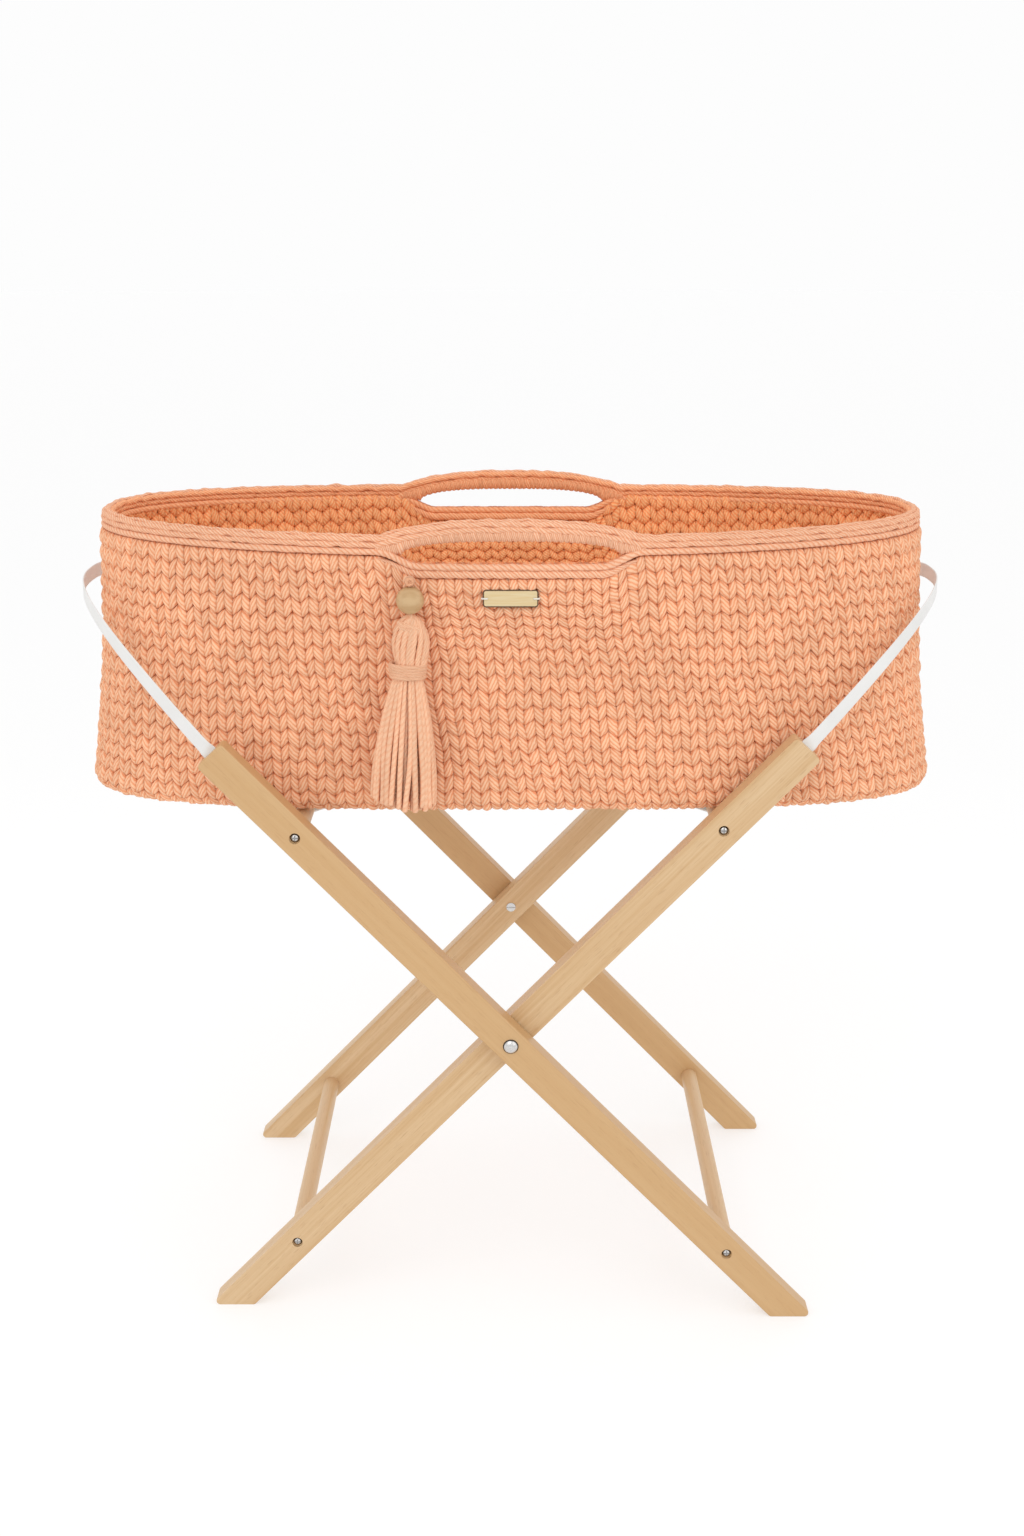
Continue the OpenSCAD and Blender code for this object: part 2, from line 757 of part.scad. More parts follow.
// Bundle from the cord down to the middle of the binding
function head_width(share) =
    share < head_belly_share
        ? head_w * (head_top_share + (1 - head_top_share) * sin(90 * share / head_belly_share))
        : let (turn = 180 * (share - head_belly_share) / (1 - head_belly_share))
            neck_w + (head_w - neck_w) * (1 + cos(turn)) / 2;
module tassel_head() {
    rings = [for (i = [0:head_steps])
        let (s = i / head_steps)
        tassel_ring(head_width(s), head_z - head_len * s, head_sides)];
    color(yarn_light) at_tassel()
        loft(concat(rings, [tassel_ring(neck_w, split_z + seat / 2, head_sides)]));
}

// Skirt of hanging yarns, grooved between them
function skirt_ring(w, z) =
    let (sides = 2 * skirt_yarns)
    [for (i = [0:sides - 1])
        let (t = 360 * i / sides, r = w / 2 * (i % 2 == 0 ? 1 : 1 - skirt_groove_share))
        [r * cos(t), tassel_depth_share * r * sin(t), z]];
module tassel_skirt() {
    rings = [for (i = [0:skirt_steps])
        let (s = i / skirt_steps)
        skirt_ring(neck_w + (skirt_w - neck_w) * sin(90 * s), skirt_z - skirt_len * s)];
    color(yarn_light) at_tassel()
        loft(concat([skirt_ring(neck_w, split_z - seat / 2)], rings));
}

// Binding: one yarn wound round the neck, with both ends run straight off it
binding_a = neck_w / 2 + binding_room + binding_d / 2;
binding_b = neck_w / 2 * tassel_depth_share + binding_room + binding_d / 2;
binding_steps = binding_turns * binding_rings;
function binding_at(i) =
    let (t = 360 * i / binding_rings)
    [binding_a * cos(t), binding_b * sin(t), neck_z - binding_d - pitch * i / binding_rings];
binding_coil = [for (i = [0:binding_steps]) binding_at(i)];
binding_from = binding_coil[0] - unit(binding_coil[1] - binding_coil[0]) * binding_d;
binding_to = binding_coil[binding_steps]
    + unit(binding_coil[binding_steps] - binding_coil[binding_steps - 1]) * binding_d;
binding_route = concat([binding_from], binding_coil, [binding_to]);
function binding_ring(p, ahead) =
    let (side = unit(cross(ahead, [0, 0, 1])), up = unit(cross(side, ahead)))
    [for (j = [0:binding_sides - 1])
        let (t = -360 * j / binding_sides)
        p + binding_d / 2 * (side * cos(t) + up * sin(t))];
module tassel_binding() {
    last = len(binding_route) - 1;
    color(yarn) at_tassel() loft([for (i = [0:last])
        let (ahead = unit(binding_route[min(last, i + 1)] - binding_route[max(0, i - 1)]))
        binding_ring(binding_route[i], ahead)]);
}
// Least gap of the wound yarn to itself, between points at least half a turn apart
binding_least_gap = min([for (i = [0:binding_steps], j = [i + binding_rings / 2:binding_steps])
    norm(binding_coil[i] - binding_coil[j])]) - binding_d;
echo("least gap of the binding to itself", binding_least_gap);

front_outer_leg();
back_outer_leg();
left_upper_rail();
right_lower_rail();
outer_rail_screws();
pivot_bolts();
pivot_nuts();
pivot_washers();
left_end_strap();
left_strap_pins();
front_inner_leg();
back_inner_leg();
right_upper_rail();
left_lower_rail();
inner_rail_screws();
right_end_strap();
right_strap_pins();
front_support_strap();
back_support_strap();
knit_wall();
knit_rim();
knit_base();
base_board();
mattress();
name_plate();
plate_stitches();
tassel_knot();
tassel_cord();
tassel_bead();
tassel_head();
tassel_binding();
tassel_skirt();
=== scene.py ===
"""Looks of the moses basket and its folding stand, dressed around the solid model's own frame."""
import json
import math
from collections import namedtuple

import bmesh
import bpy
import numpy as np
from bpy.props import FloatProperty, FloatVectorProperty, IntProperty, PointerProperty
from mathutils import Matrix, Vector


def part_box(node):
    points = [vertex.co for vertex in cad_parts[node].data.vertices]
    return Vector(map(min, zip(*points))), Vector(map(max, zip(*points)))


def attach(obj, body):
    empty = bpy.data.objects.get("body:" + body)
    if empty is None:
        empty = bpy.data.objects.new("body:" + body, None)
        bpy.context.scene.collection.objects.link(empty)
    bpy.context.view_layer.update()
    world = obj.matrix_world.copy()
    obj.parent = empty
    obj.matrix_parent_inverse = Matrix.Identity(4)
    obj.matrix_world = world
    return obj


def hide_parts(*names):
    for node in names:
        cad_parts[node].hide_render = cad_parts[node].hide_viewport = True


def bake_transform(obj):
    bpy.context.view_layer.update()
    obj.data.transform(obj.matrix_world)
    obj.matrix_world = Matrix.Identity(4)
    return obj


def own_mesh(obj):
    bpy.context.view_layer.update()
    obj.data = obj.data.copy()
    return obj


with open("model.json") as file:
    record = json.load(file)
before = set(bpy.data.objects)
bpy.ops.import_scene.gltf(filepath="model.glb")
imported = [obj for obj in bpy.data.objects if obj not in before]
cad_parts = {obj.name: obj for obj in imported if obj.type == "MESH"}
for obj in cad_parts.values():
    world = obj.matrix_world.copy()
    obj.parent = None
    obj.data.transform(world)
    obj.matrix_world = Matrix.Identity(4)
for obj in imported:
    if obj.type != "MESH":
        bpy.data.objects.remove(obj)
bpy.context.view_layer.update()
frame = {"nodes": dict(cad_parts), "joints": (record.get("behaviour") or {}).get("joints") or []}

bl_info = {
    "name": "Moses basket and stand",
    "version": (1, 0, 0),
    "blender": (4, 5, 0),
    "location": "View3D > Sidebar > Basket",
    "description": "Builds the stitched basket, the wooden stand and its straps around the solid model",
    "category": "Object",
}

MM = 0.001
STRAND_MAP = "Strand"
BAKE_MAP = "OFBake"
UP = (0, 0, 1)
MID_TONE = 0.5

# Places read from the solids, in metres
WALL_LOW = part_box("knit_wall")[0]
BASE_LOW, BASE_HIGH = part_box("knit_base")
BEAD_LOW, BEAD_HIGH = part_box("tassel_bead")
HEAD_LOW, HEAD_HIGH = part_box("tassel_head")
BINDING_LOW, BINDING_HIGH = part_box("tassel_binding")
SKIRT_LOW, SKIRT_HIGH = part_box("tassel_skirt")
KNOT_LOW, KNOT_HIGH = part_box("tassel_knot")
PLATE_LOW, PLATE_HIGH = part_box("name_plate")
PAD_LOW, PAD_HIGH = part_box("mattress")
JOINTS = {joint["name"]: joint for joint in frame["joints"]}
PIVOT_Z = JOINTS["fold"]["pos_m"][2]


def box_middle(node):
    """Middle of a solid's box."""
    low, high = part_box(node)
    return (low + high) / 2


UPPER_RAIL = box_middle("right_upper_rail")
LEG_SLOPE = math.atan2(UPPER_RAIL.z - PIVOT_Z, UPPER_RAIL.x)


def screen_colour(red, green, blue):
    """Linear colour of an 8-bit screen colour."""
    shares = [v / 255 for v in (red, green, blue)]
    return tuple(v / 12.92 if v <= 0.04045 else ((v + 0.055) / 1.055) ** 2.4 for v in shares)


# Settings

def length(name, description, default):
    return FloatProperty(name=name, description=description, default=default, min=0, unit="LENGTH")


def share(name, description, default):
    return FloatProperty(name=name, description=description, default=default, subtype="FACTOR")


def colour(name, description, red, green, blue):
    default = screen_colour(red, green, blue)
    return FloatVectorProperty(name=name, description=description, default=default, size=3, min=0, max=1,
                               subtype="COLOR")


class BasketShape(bpy.types.PropertyGroup):
    """Sizes of the basket's fabric, the same as the solid's."""

    base_half_length: length("Half length, base", "Half length of the wall at the base", 0.422)
    top_half_length: length("Half length, top", "Half length of the wall at the rim", 0.404)
    base_half_width: length("Half width, base", "Half width of the wall at the base", 0.1615)
    top_half_width: length("Half width, top", "Half width of the wall at the rim", 0.182)
    waist: length("Waist", "How far the ends of the wall draw in at half height", 0.0055)
    base_power: FloatProperty(name="Base power", description="Power of the base's rounded oval", default=3.3)
    rim_power: FloatProperty(name="Rim power", description="Power of the rim's rounded oval", default=2.3)
    wall_height: length("Wall height", "Height of the stitched wall at its middle", 0.247)
    sweep: length("Sweep", "Rise of the rim at the ends of the basket", 0.0045)
    rim_seat: length("Rim seat", "Gap between the wall and the rim", 0.0003)
    tuck: length("Tuck", "How far the ends of the rim draw in", 0.003)
    inner_rise: length("Inner rows", "How far the rows inside reach up behind the rim", 0.0085)
    wall: length("Wall", "Thickness of the stitched wall", 0.012)
    edge: length("Bottom edge", "Radius of the bottom edge", 0.011)
    hole: length("Hand hole", "Length of a hand hole", 0.196)
    hole_lift: length("Hole lift", "How far the handle's underside rises over the rim's", 0.0137)
    lip_dip: length("Lip dip", "How far a hand hole dips into the wall", 0.013)
    lip_row: length("Lip row", "Height of the cord below the lip of a hand hole", 0.007)
    rim_height: length("Rim height", "Height of the rim beside the handles", 0.018)
    rim_width: length("Rim width", "Thickness of the rim", 0.017)
    handle_rise: length("Handle rise", "Rise of the rim over a hand hole", 0.015)
    handle: length("Handle", "Length of a handle's arch", 0.236)
    arch_power: FloatProperty(name="Arch power", description="Power of a handle's arch", default=2.6)
    lip_reach: length("Lip", "Half length of the lip under a hand hole", 0.120)
    lip_turn: length("Lip turn", "Length over which an end of the lip rises to the rim", 0.038)


class YarnLook(bpy.types.PropertyGroup):
    """Stitches and colours of the basket's cotton cord."""

    stitches: IntProperty(name="Stitches", description="Stitches round the basket", default=120, min=8)
    rows: IntProperty(name="Rows", description="Rows of stitches up the wall", default=18, min=2)
    left_share: share("Left lobe", "Share of a stitch's width that its left lobe takes", 0.54)
    zigzag: share("Zigzag", "Depth of a stitch's V against the height of a row", 0.44)
    lean: share("Lean", "Drift of a column to the left for each row up, in stitches", 0.09)
    plump: length("Plumpness", "Depth of the creases between stitches", 0.0052)
    ply: length("Ply", "Width of one ply of the cord", 0.0030)
    # Crest, body, crease and pit make a ramp of painted light and shade that the rise attribute reads: crest
    # where light reaches the cord, body on its sides, crease and pit as painted shade in the creases and
    # pits
    stitched_crest: colour("Crest", "Colour of the cord where light reaches it", 247, 192, 154)
    stitched_body: colour("Body", "Colour of the cord's sides", 239, 168, 126)
    crease: colour("Crease", "Colour between two stitches", 176, 78, 44)
    pit: colour("Pit", "Colour at the bottom of a stitch", 120, 36, 14)
    rim_crest: colour("Rim", "Colour of the rim's cord where light reaches it", 244, 192, 158)
    rim_body: colour("Rim sides", "Colour of the rim's cord on its sides", 237, 169, 131)
    # The rim's inside colours are painted bounce light: a brighter, redder copy of the rim's cord for the
    # cords inside the basket
    rim_inside_crest: colour("Rim inside", "Colour of the rim's cord inside the basket", 252, 186, 140)
    rim_inside_body: colour("Rim inside, sides", "Colour of that cord on its sides", 246, 164, 115)
    tassel_crest: colour("Tassel", "Colour of the tassel's cords where light reaches them", 240, 190, 155)
    tassel_body: colour("Tassel sides", "Colour of the tassel's cords on their sides", 233, 169, 131)
    # The inside colours are painted bounce light: a brighter, redder copy of the cord for the wall's inner
    # face
    inside_crest: colour("Inside", "Colour of the cord inside the basket", 255, 188, 134)
    inside_body: colour("Inside sides", "Colour of the cord's sides inside the basket", 255, 170, 112)


class StandLook(bpy.types.PropertyGroup):
    """Finish of the stand's wood and webbing, the plate, the bead and the mattress cover."""

    eased: length("Eased edge", "Radius of the legs' eased edges", 0.0012)
    wood_light: colour("Wood, light", "Light bands of the beech", 215, 185, 145)
    wood_dark: colour("Wood, dark", "Dark bands of the beech", 200, 163, 117)
    outer_tint: colour("Outer tint", "Tint of the outer legs, which are warmer", 245, 236, 221)
    fleck: colour("Fleck", "Short flecks in the beech", 160, 112, 70)
    webbing: colour("Webbing", "Colour of the cotton webbing", 208, 207, 205)
    strap_width: length("End strap", "Width of an end strap", 0.014)
    strap_thickness: length("Webbing thickness", "Thickness of all webbing", 0.0016)
    plate_wood: colour("Plate", "Face of the name plate", 214, 195, 155)
    plate_edge: colour("Plate edge", "Dark cut edge of the name plate", 74, 48, 30)
    bead_wood: colour("Bead", "Colour of the bead", 198, 166, 124)
    cover: colour("Mattress cover", "Colour of the mattress cover", 240, 236, 226)


class StudioLook(bpy.types.PropertyGroup):
    """Camera, floor and light."""

    camera: FloatVectorProperty(name="Camera", description="Place of the camera", size=3, unit="LENGTH",
                                default=(0.0012, -1.7386, 1.0362))
    pitch: FloatProperty(name="Pitch", description="How far the camera looks down", subtype="ANGLE",
                         default=math.radians(16.68))
    lens: FloatProperty(name="Lens", description="Focal length in millimetres on a 36 mm sensor",
                        default=41.13)
    floor: colour("Floor", "Colour of the floor and the backdrop", 253, 253, 253)
    sky: FloatProperty(name="Sky", description="Strength of the light from all round", default=1.0)
    key: FloatProperty(name="Key light", description="Power of the large light above the front", default=17,
                       unit="POWER")


GROUPS = {
    "basket_shape": BasketShape,
    "yarn_look": YarnLook,
    "stand_look": StandLook,
    "studio_look": StudioLook,
}


# Meshes

class Skin:
    """Points and quads of a surface, with a map along its strands, a rise that is low in its creases and
    paints shade there, and a tone.
    """

    def __init__(self, points, quads, strand, rise, tone, bake=None):
        self.points = points
        self.quads = quads
        self.strand = strand
        self.rise = rise
        self.tone = tone
        self.bake = bake


def grid_quads(rows, columns, wrap_rows=False):
    """Quads over a grid of points that closes round its columns, and the row and column of each corner."""
    faces_down = np.arange(rows if wrap_rows else rows - 1)
    r, c = np.meshgrid(faces_down, np.arange(columns), indexing="ij")
    r = r.ravel()
    c = c.ravel()
    corner_r = np.stack([r, r, r + 1, r + 1], axis=1)
    corner_c = np.stack([c, c + 1, c + 1, c], axis=1)
    return (corner_r % rows) * columns + corner_c % columns, corner_r, corner_c


def volume_of(points, quads):
    """Signed volume inside a closed skin of quads."""
    a, b, c, d = (points[quads[:, i]] for i in range(4))
    return (np.einsum("ij,ij->i", a, np.cross(b, c)) + np.einsum("ij,ij->i", a, np.cross(c, d))).sum() / 6


def joined(skins):
    """One skin out of several."""
    starts = np.cumsum([0] + [len(s.points) for s in skins[:-1]])
    bakes = [s.bake for s in skins]
    return Skin(
        np.concatenate([s.points for s in skins]),
        np.concatenate([s.quads + start for s, start in zip(skins, starts)]),
        np.concatenate([s.strand for s in skins]),
        np.concatenate([s.rise for s in skins]),
        np.concatenate([s.tone for s in skins]),
        None if any(b is None for b in bakes) else np.concatenate(bakes),
    )


def facing_out(skin):
    """Turn a closed skin's quads so that they face outwards."""
    if volume_of(skin.points, skin.quads) < 0:
        skin.quads = skin.quads[:, ::-1].copy()
        skin.strand = skin.strand[:, ::-1].copy()
        if skin.bake is not None:
            skin.bake = skin.bake[:, ::-1].copy()
    return skin


def plain_skin(points, quads, strand):
    """A closed skin without creases."""
    return facing_out(Skin(points, quads, strand, np.ones(len(points)), np.full(len(quads), MID_TONE)))


def corner_map(mesh, name, values):
    layer = mesh.uv_layers.new(name=name)
    layer.data.foreach_set("uv", np.ascontiguousarray(values, dtype=np.float32).ravel())


def link(obj):
    bpy.context.scene.collection.objects.link(obj)
    return obj


def skin_piece(name, skin, material, weld=False):
    """A smooth object from a skin, with its maps and attributes."""
    mesh = bpy.data.meshes.new(name)
    quads = np.ascontiguousarray(skin.quads, dtype=np.int32)
    mesh.vertices.add(len(skin.points))
    mesh.vertices.foreach_set("co", np.ascontiguousarray(skin.points, dtype=np.float32).ravel())
    mesh.loops.add(quads.size)
    mesh.loops.foreach_set("vertex_index", quads.ravel())
    mesh.polygons.add(len(quads))
    mesh.polygons.foreach_set("loop_start", np.arange(0, quads.size, 4, dtype=np.int32))
    mesh.update(calc_edges=True)
    corner_map(mesh, STRAND_MAP, skin.strand)
    if skin.bake is not None:
        corner_map(mesh, BAKE_MAP, skin.bake)
    rise = mesh.attributes.new("rise", "FLOAT", "POINT")
    rise.data.foreach_set("value", skin.rise.astype(np.float32))
    tone = mesh.attributes.new("tone", "FLOAT", "FACE")
    tone.data.foreach_set("value", skin.tone.astype(np.float32))
    if weld:
        weld_points(mesh)
    mesh.shade_smooth()
    mesh.materials.append(material)
    return link(bpy.data.objects.new(name, mesh))


def weld_points(mesh, reach=2e-6):
    """Join points that lie on each other, such as the rings that close a cord's ends."""
    work = bmesh.new()
    work.from_mesh(mesh)
    bmesh.ops.remove_doubles(work, verts=work.verts, dist=reach)
    work.to_mesh(mesh)
    work.free()


def paint_faces(obj, faces, material):
    """Give some faces of a piece a second material."""
    number = len(obj.data.materials)
    obj.data.materials.append(material)
    obj.data.polygons.foreach_set("material_index", np.where(faces, number, 0).astype(np.int32))


def settle(obj, body, slot, *nodes):
    """Tell the frame what a piece rides on and the solids that it stands for. slot, its finish, is not used.
    """
    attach(obj, body)
    if nodes:
        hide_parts(*nodes)
    return obj


# Paths and cords

PATH_STEPS = 24
# Rings that close the end of a cord: share of its radius, and distance past the end in radii
CORD_CAPS = ((0.0, 0.5), (0.7, 0.35), (0.93, 0.14))


def unit_rows(v):
    return v / np.linalg.norm(v, axis=-1, keepdims=True)


def path_frames(points, reference, closed=False):
    """Side and up directions along a path, square to it, with side square to a reference direction too."""
    if closed:
        ahead = np.roll(points, -1, axis=0) - np.roll(points, 1, axis=0)
    else:
        ahead = np.gradient(points, axis=0)
    ahead = unit_rows(ahead)
    side = unit_rows(np.cross(ahead, np.asarray(reference, dtype=float)))
    return side, np.cross(side, ahead)


def path_length(points):
    """Distance along a path at each of its points."""
    steps = np.linalg.norm(np.diff(points, axis=0), axis=1)
    return np.concatenate([[0], np.cumsum(steps)])


def even_path(points, count):
    """The same path with evenly spaced points, on a smooth curve through the given ones."""
    points = np.asarray(points, dtype=float)
    ends = np.concatenate([[2 * points[0] - points[1]], points, [2 * points[-1] - points[-2]]])
    fine = []
    for p0, p1, p2, p3 in zip(ends[:-3], ends[1:-2], ends[2:-1], ends[3:]):
        t = np.linspace(0, 1, PATH_STEPS, endpoint=False)[:, None]
        fine.append(0.5 * (2 * p1 + (p2 - p0) * t + (2 * p0 - 5 * p1 + 4 * p2 - p3) * t ** 2
                           + (3 * p1 - p0 - 3 * p2 + p3) * t ** 3))
    fine = np.concatenate(fine + [points[-1:]])
    along = path_length(fine)
    at = np.linspace(0, along[-1], count)
    return np.stack([np.interp(at, along, fine[:, i]) for i in range(3)], axis=1)


def lay_relief(phase, depth, sharpness=0.55):
    """Roundness of twisted strands: 1 on a strand's back, and lower in the crease beside it."""
    back = np.abs(np.sin(np.pi * phase)) ** sharpness
    return 1 - depth * (1 - back), back


def cord_skin(points, radius, turns=10, plies=3, pitch=0.012, depth=0.16, reference=(0, 1, 0),
              closed=False, tone=MID_TONE, soft=0.35, outward=None, facing_low=-0.25, facing_high=0.65,
              shade_floor=0.2, lines=3, start=0.0):
    """A twisted cord along a path. Its plies are relief on the tube, and its ends close to a point.

    The rise is painted shade: soft is the least rise in a crease. outward is the direction that faces the
    light, away from other cords, or one for each point. Between facing_low and facing_high the rise grows
    from a least share, which may change along the cord, to all of it, so that the side turned from the light
    is painted in shade.
    lines is the number of fine lines on each ply, and start the part of a twist that the cord begins with.
    """
    points = np.asarray(points, dtype=float)
    radius = np.broadcast_to(radius, len(points)).astype(float).copy()
    if not closed:
        first = points[1] - points[0]
        last = points[-1] - points[-2]
        ahead = first / np.linalg.norm(first)
        astern = last / np.linalg.norm(last)
        head = [points[0] - ahead * radius[0] * past for size, past in CORD_CAPS]
        tail = [points[-1] + astern * radius[-1] * past for size, past in reversed(CORD_CAPS)]
        points = np.concatenate([head, points, tail])
        sizes = np.array([size for size, past in CORD_CAPS])
        radius = np.concatenate([radius[0] * sizes, radius, radius[-1] * sizes[::-1]])
    side, up = path_frames(points, reference, closed)
    rings = len(points)
    along = path_length(points)
    if closed:
        total = along[-1] + np.linalg.norm(points[0] - points[-1])
        pitch = total / round(total / pitch)
    around = np.arange(turns + 1) / turns
    phase = start + plies * around[None, :] + along[:, None] / pitch
    relief, back = lay_relief(phase, depth)
    angle = 2 * np.pi * around[:-1]
    reach = radius[:, None] * relief[:, :-1]
    offset = (reach[..., None] * np.cos(angle)[None, :, None] * side[:, None, :]
              + reach[..., None] * np.sin(angle)[None, :, None] * up[:, None, :])
    # Painted shade: the rise, which picks the cord's colour, is lower in the creases and on the side turned
    # from the light
    rise = soft + (1 - soft) * back[:, :-1]
    if outward is not None:
        away = np.broadcast_to(np.asarray(outward, dtype=float), (rings, 3))
        facing = np.einsum("rtk,rk->rt", unit_rows(offset + 1e-12), away)
        lit_side = smooth_step((facing - facing_low) / (facing_high - facing_low))
        least = np.broadcast_to(shade_floor, rings)[:, None]
        rise = rise * (least + (1 - least) * lit_side)
    quads, corner_r, corner_c = grid_quads(rings, turns, wrap_rows=closed)
    if closed:
        phase = np.concatenate([phase, phase[:1] + round(total / pitch)])
        along = np.append(along, total)
    strand = np.stack([lines * phase[corner_r, corner_c], along[corner_r] / pitch], axis=2)
    skin = Skin((points[:, None, :] + offset).reshape(-1, 3), quads, strand, rise.ravel(),
                np.full(len(quads), tone))
    return facing_out(skin)


# Basket shape

PLAN_STEPS = 6001
HOLE_POWER = 3
# Share of the wall's thickness where the rows inside begin, above the base
INNER_FOOT = 0.3
# Share of the wall's height above which the rows follow the rim and the lips
TOP_ROWS = 0.6


def smooth_step(v):
    """0 below 0 and 1 above 1, with a soft step between."""
    v = np.clip(v, 0, 1)
    return v * v * (3 - 2 * v)


class Oval:
    """The basket's plan and section, in metres, from its settings."""

    def __init__(self, shape):
        self.shape = shape
        self.wall_top = WALL_LOW.z + shape.wall_height
        self.rim_foot = self.wall_top + shape.rim_seat
        self.turns = np.linspace(-np.pi / 2, 1.5 * np.pi, PLAN_STEPS)
        self.base_run = self.run_round(shape.base_half_length, shape.base_half_width, 0)
        self.top_run = self.run_round(shape.top_half_length, shape.top_half_width, 1)

    def run_round(self, a, b, up):
        """Length round an oval at each turn."""
        x, y = self.at(a, b, self.turns, up)
        steps = np.hypot(np.diff(x), np.diff(y))
        return np.concatenate([[0], np.cumsum(steps)])

    def power(self, up):
        """Power of the plan at a share of the wall's height."""
        s = self.shape
        return s.base_power + (s.rim_power - s.base_power) * np.clip(up, 0, 1)

    def share_up(self, z):
        """Share of the wall's height."""
        return (z - WALL_LOW.z) / self.shape.wall_height

    def at(self, a, b, turn, up=1):
        """Point of the rounded oval of half sizes a and b, at a share of the wall's height."""
        angle = np.arctan2(b * np.sin(turn), a * np.cos(turn))
        power = self.power(up)
        radius = (np.abs(np.cos(angle) / a) ** power + np.abs(np.sin(angle) / b) ** power) ** (-1 / power)
        return radius * np.cos(angle), radius * np.sin(angle)

    def outward(self, a, b, x, y, up=1):
        """Direction square to the oval, in plan."""
        power = self.power(up)
        nx = np.sign(x) * np.abs(x) ** (power - 1) / a ** power
        ny = np.sign(y) * np.abs(y) ** (power - 1) / b ** power
        size = np.hypot(nx, ny)
        return nx / size, ny / size

    def turn_at(self, round_share, up=1):
        """Turn at a share of the way round, by length, from the middle of the front."""
        along = np.mod(round_share, 1)
        base = np.interp(along * self.base_run[-1], self.base_run, self.turns)
        top = np.interp(along * self.top_run[-1], self.top_run, self.turns)
        return base + (top - base) * np.clip(up, 0, 1)

    def half_length(self, up):
        s = self.shape
        return s.base_half_length + (s.top_half_length - s.base_half_length) * up \
            - s.waist * np.sin(np.pi * np.clip(up, 0, 1))

    def half_width(self, up):
        s = self.shape
        return s.base_half_width + (s.top_half_width - s.base_half_width) * up

    def hole_share(self, x):
        """1 over the middle of a hand hole, 0 past its ends."""
        across = np.minimum(1, np.abs(x) / (self.shape.hole / 2))
        return np.sqrt(1 - across ** HOLE_POWER)

    def handle_share(self, x):
        """1 at the top of a handle's arch, 0 past its ends."""
        s = self.shape
        return 1 - np.minimum(1, np.abs(x) / (s.handle / 2)) ** s.arch_power

    def lip_share(self, x):
        """1 along the level lip of a hand hole, 0 past its ends."""
        s = self.shape
        return smooth_step((s.lip_reach - np.abs(x)) / s.lip_turn)

    def lip_z(self, x):
        """Height of the wall's top, which dips under the hand holes."""
        return self.wall_top - self.shape.lip_dip * self.lip_share(x)

    def near_top(self, up):
        """1 at the top of the wall, 0 below its top rows."""
        return smooth_step((up - TOP_ROWS) / (1 - TOP_ROWS))

    def row_drop(self, x, up):
        """How far the top rows give way to the lip of a hand hole."""
        s = self.shape
        return (s.lip_dip + s.lip_row) * self.lip_share(x) * self.near_top(up)

    def outside(self, around, climb, rise):
        """Point on the outside of the wall, a share of the way up from under the bottom edge."""
        edge = self.shape.edge
        tall = self.shape.wall_height
        quarter = edge * np.pi / 2
        run = np.clip(climb, 0, 1) * (quarter + tall - edge)
        arc = np.clip(run / edge, 0, np.pi / 2)
        height = np.where(run < quarter, edge * (1 - np.cos(arc)), edge + run - quarter)
        inset = edge * (1 - np.sin(arc))
        up = height / tall
        a = self.half_length(up) - inset
        b = self.half_width(up) - inset
        x, y = self.at(a, b, self.turn_at(around, up), up)
        nx, ny = self.outward(a, b, x, y, up)
        flat = rise * np.sin(arc)
        z = WALL_LOW.z + height + self.swept(x / a, up) - self.row_drop(x, up) - rise * np.cos(arc)
        return np.stack([x + flat * nx, y + flat * ny, z], axis=-1)

    def inside(self, around, climb, rise):
        """Point on the inside of the wall."""
        foot = INNER_FOOT * self.shape.wall
        tall = self.shape.wall_height
        height = foot + np.clip(climb, 0, 1) * (tall - foot)
        up = height / tall
        a = self.half_length(up) - self.shape.wall
        b = self.half_width(up) - self.shape.wall
        x, y = self.at(a, b, self.turn_at(around, up), up)
        nx, ny = self.outward(a, b, x, y, up)
        behind_rim = self.shape.inner_rise * (1 - self.lip_share(x)) * self.near_top(up)
        z = WALL_LOW.z + height + self.swept(x / a, up) + behind_rim - self.row_drop(x, up)
        return np.stack([x - rise * nx, y - rise * ny, z], axis=-1)

    def swept(self, along, up=1):
        """Rise of the rows towards the ends of the basket."""
        return self.shape.sweep * up ** 2 * along ** 2

    def rim_line(self, turn, inset, z):
        """Point over the wall's middle, or moved out from it, at a height that follows x."""
        s = self.shape
        a = s.top_half_length - s.wall / 2 - s.tuck + inset
        b = s.top_half_width - s.wall / 2 + inset
        x, y = self.at(a, b, turn)
        return np.stack([x, y, z(x) + self.swept(x / a)], axis=-1)


# Stitches

# Points across and up a lobe, which is half a stitch, and how far each hangs over the row below
ACROSS = np.array([0, 0.13, 0.37, 0.63, 0.87])
CLIMB = np.array([0, 0.07, 0.2, 0.42, 0.68, 0.9])
OVERHANG = np.array([0, 0.15, 0.11, 0.04, 0, 0])
LEAST_OVERHANG = 0.35
# Swell of a lobe: at its sides, the powers of its round, and its peak, rise and fall on the way up
SIDE_SWELL = 0.56
FLANK_POWER = 2.5
ROUND_POWER = 0.8
PEAK = 0.36
RISE_POWER = 0.6
FALL = 0.62
FALL_POWER = 1.8
# Light that is left on the line between two lobes, and how much a pit takes away
SIDE_LINE = 0.5
PIT_SHADE = 0.95
# Pits at the tips of the stitches: their sizes across and up, and their depths
LOW_PIT = (0.12, 0.09)
TOP_PIT = (0.1, 0.1)
TOP_PIT_DEPTH = 0.4
PIT_DEPTH = 0.4
# How far the crests stand out of the solid
PROUD = 0.0006
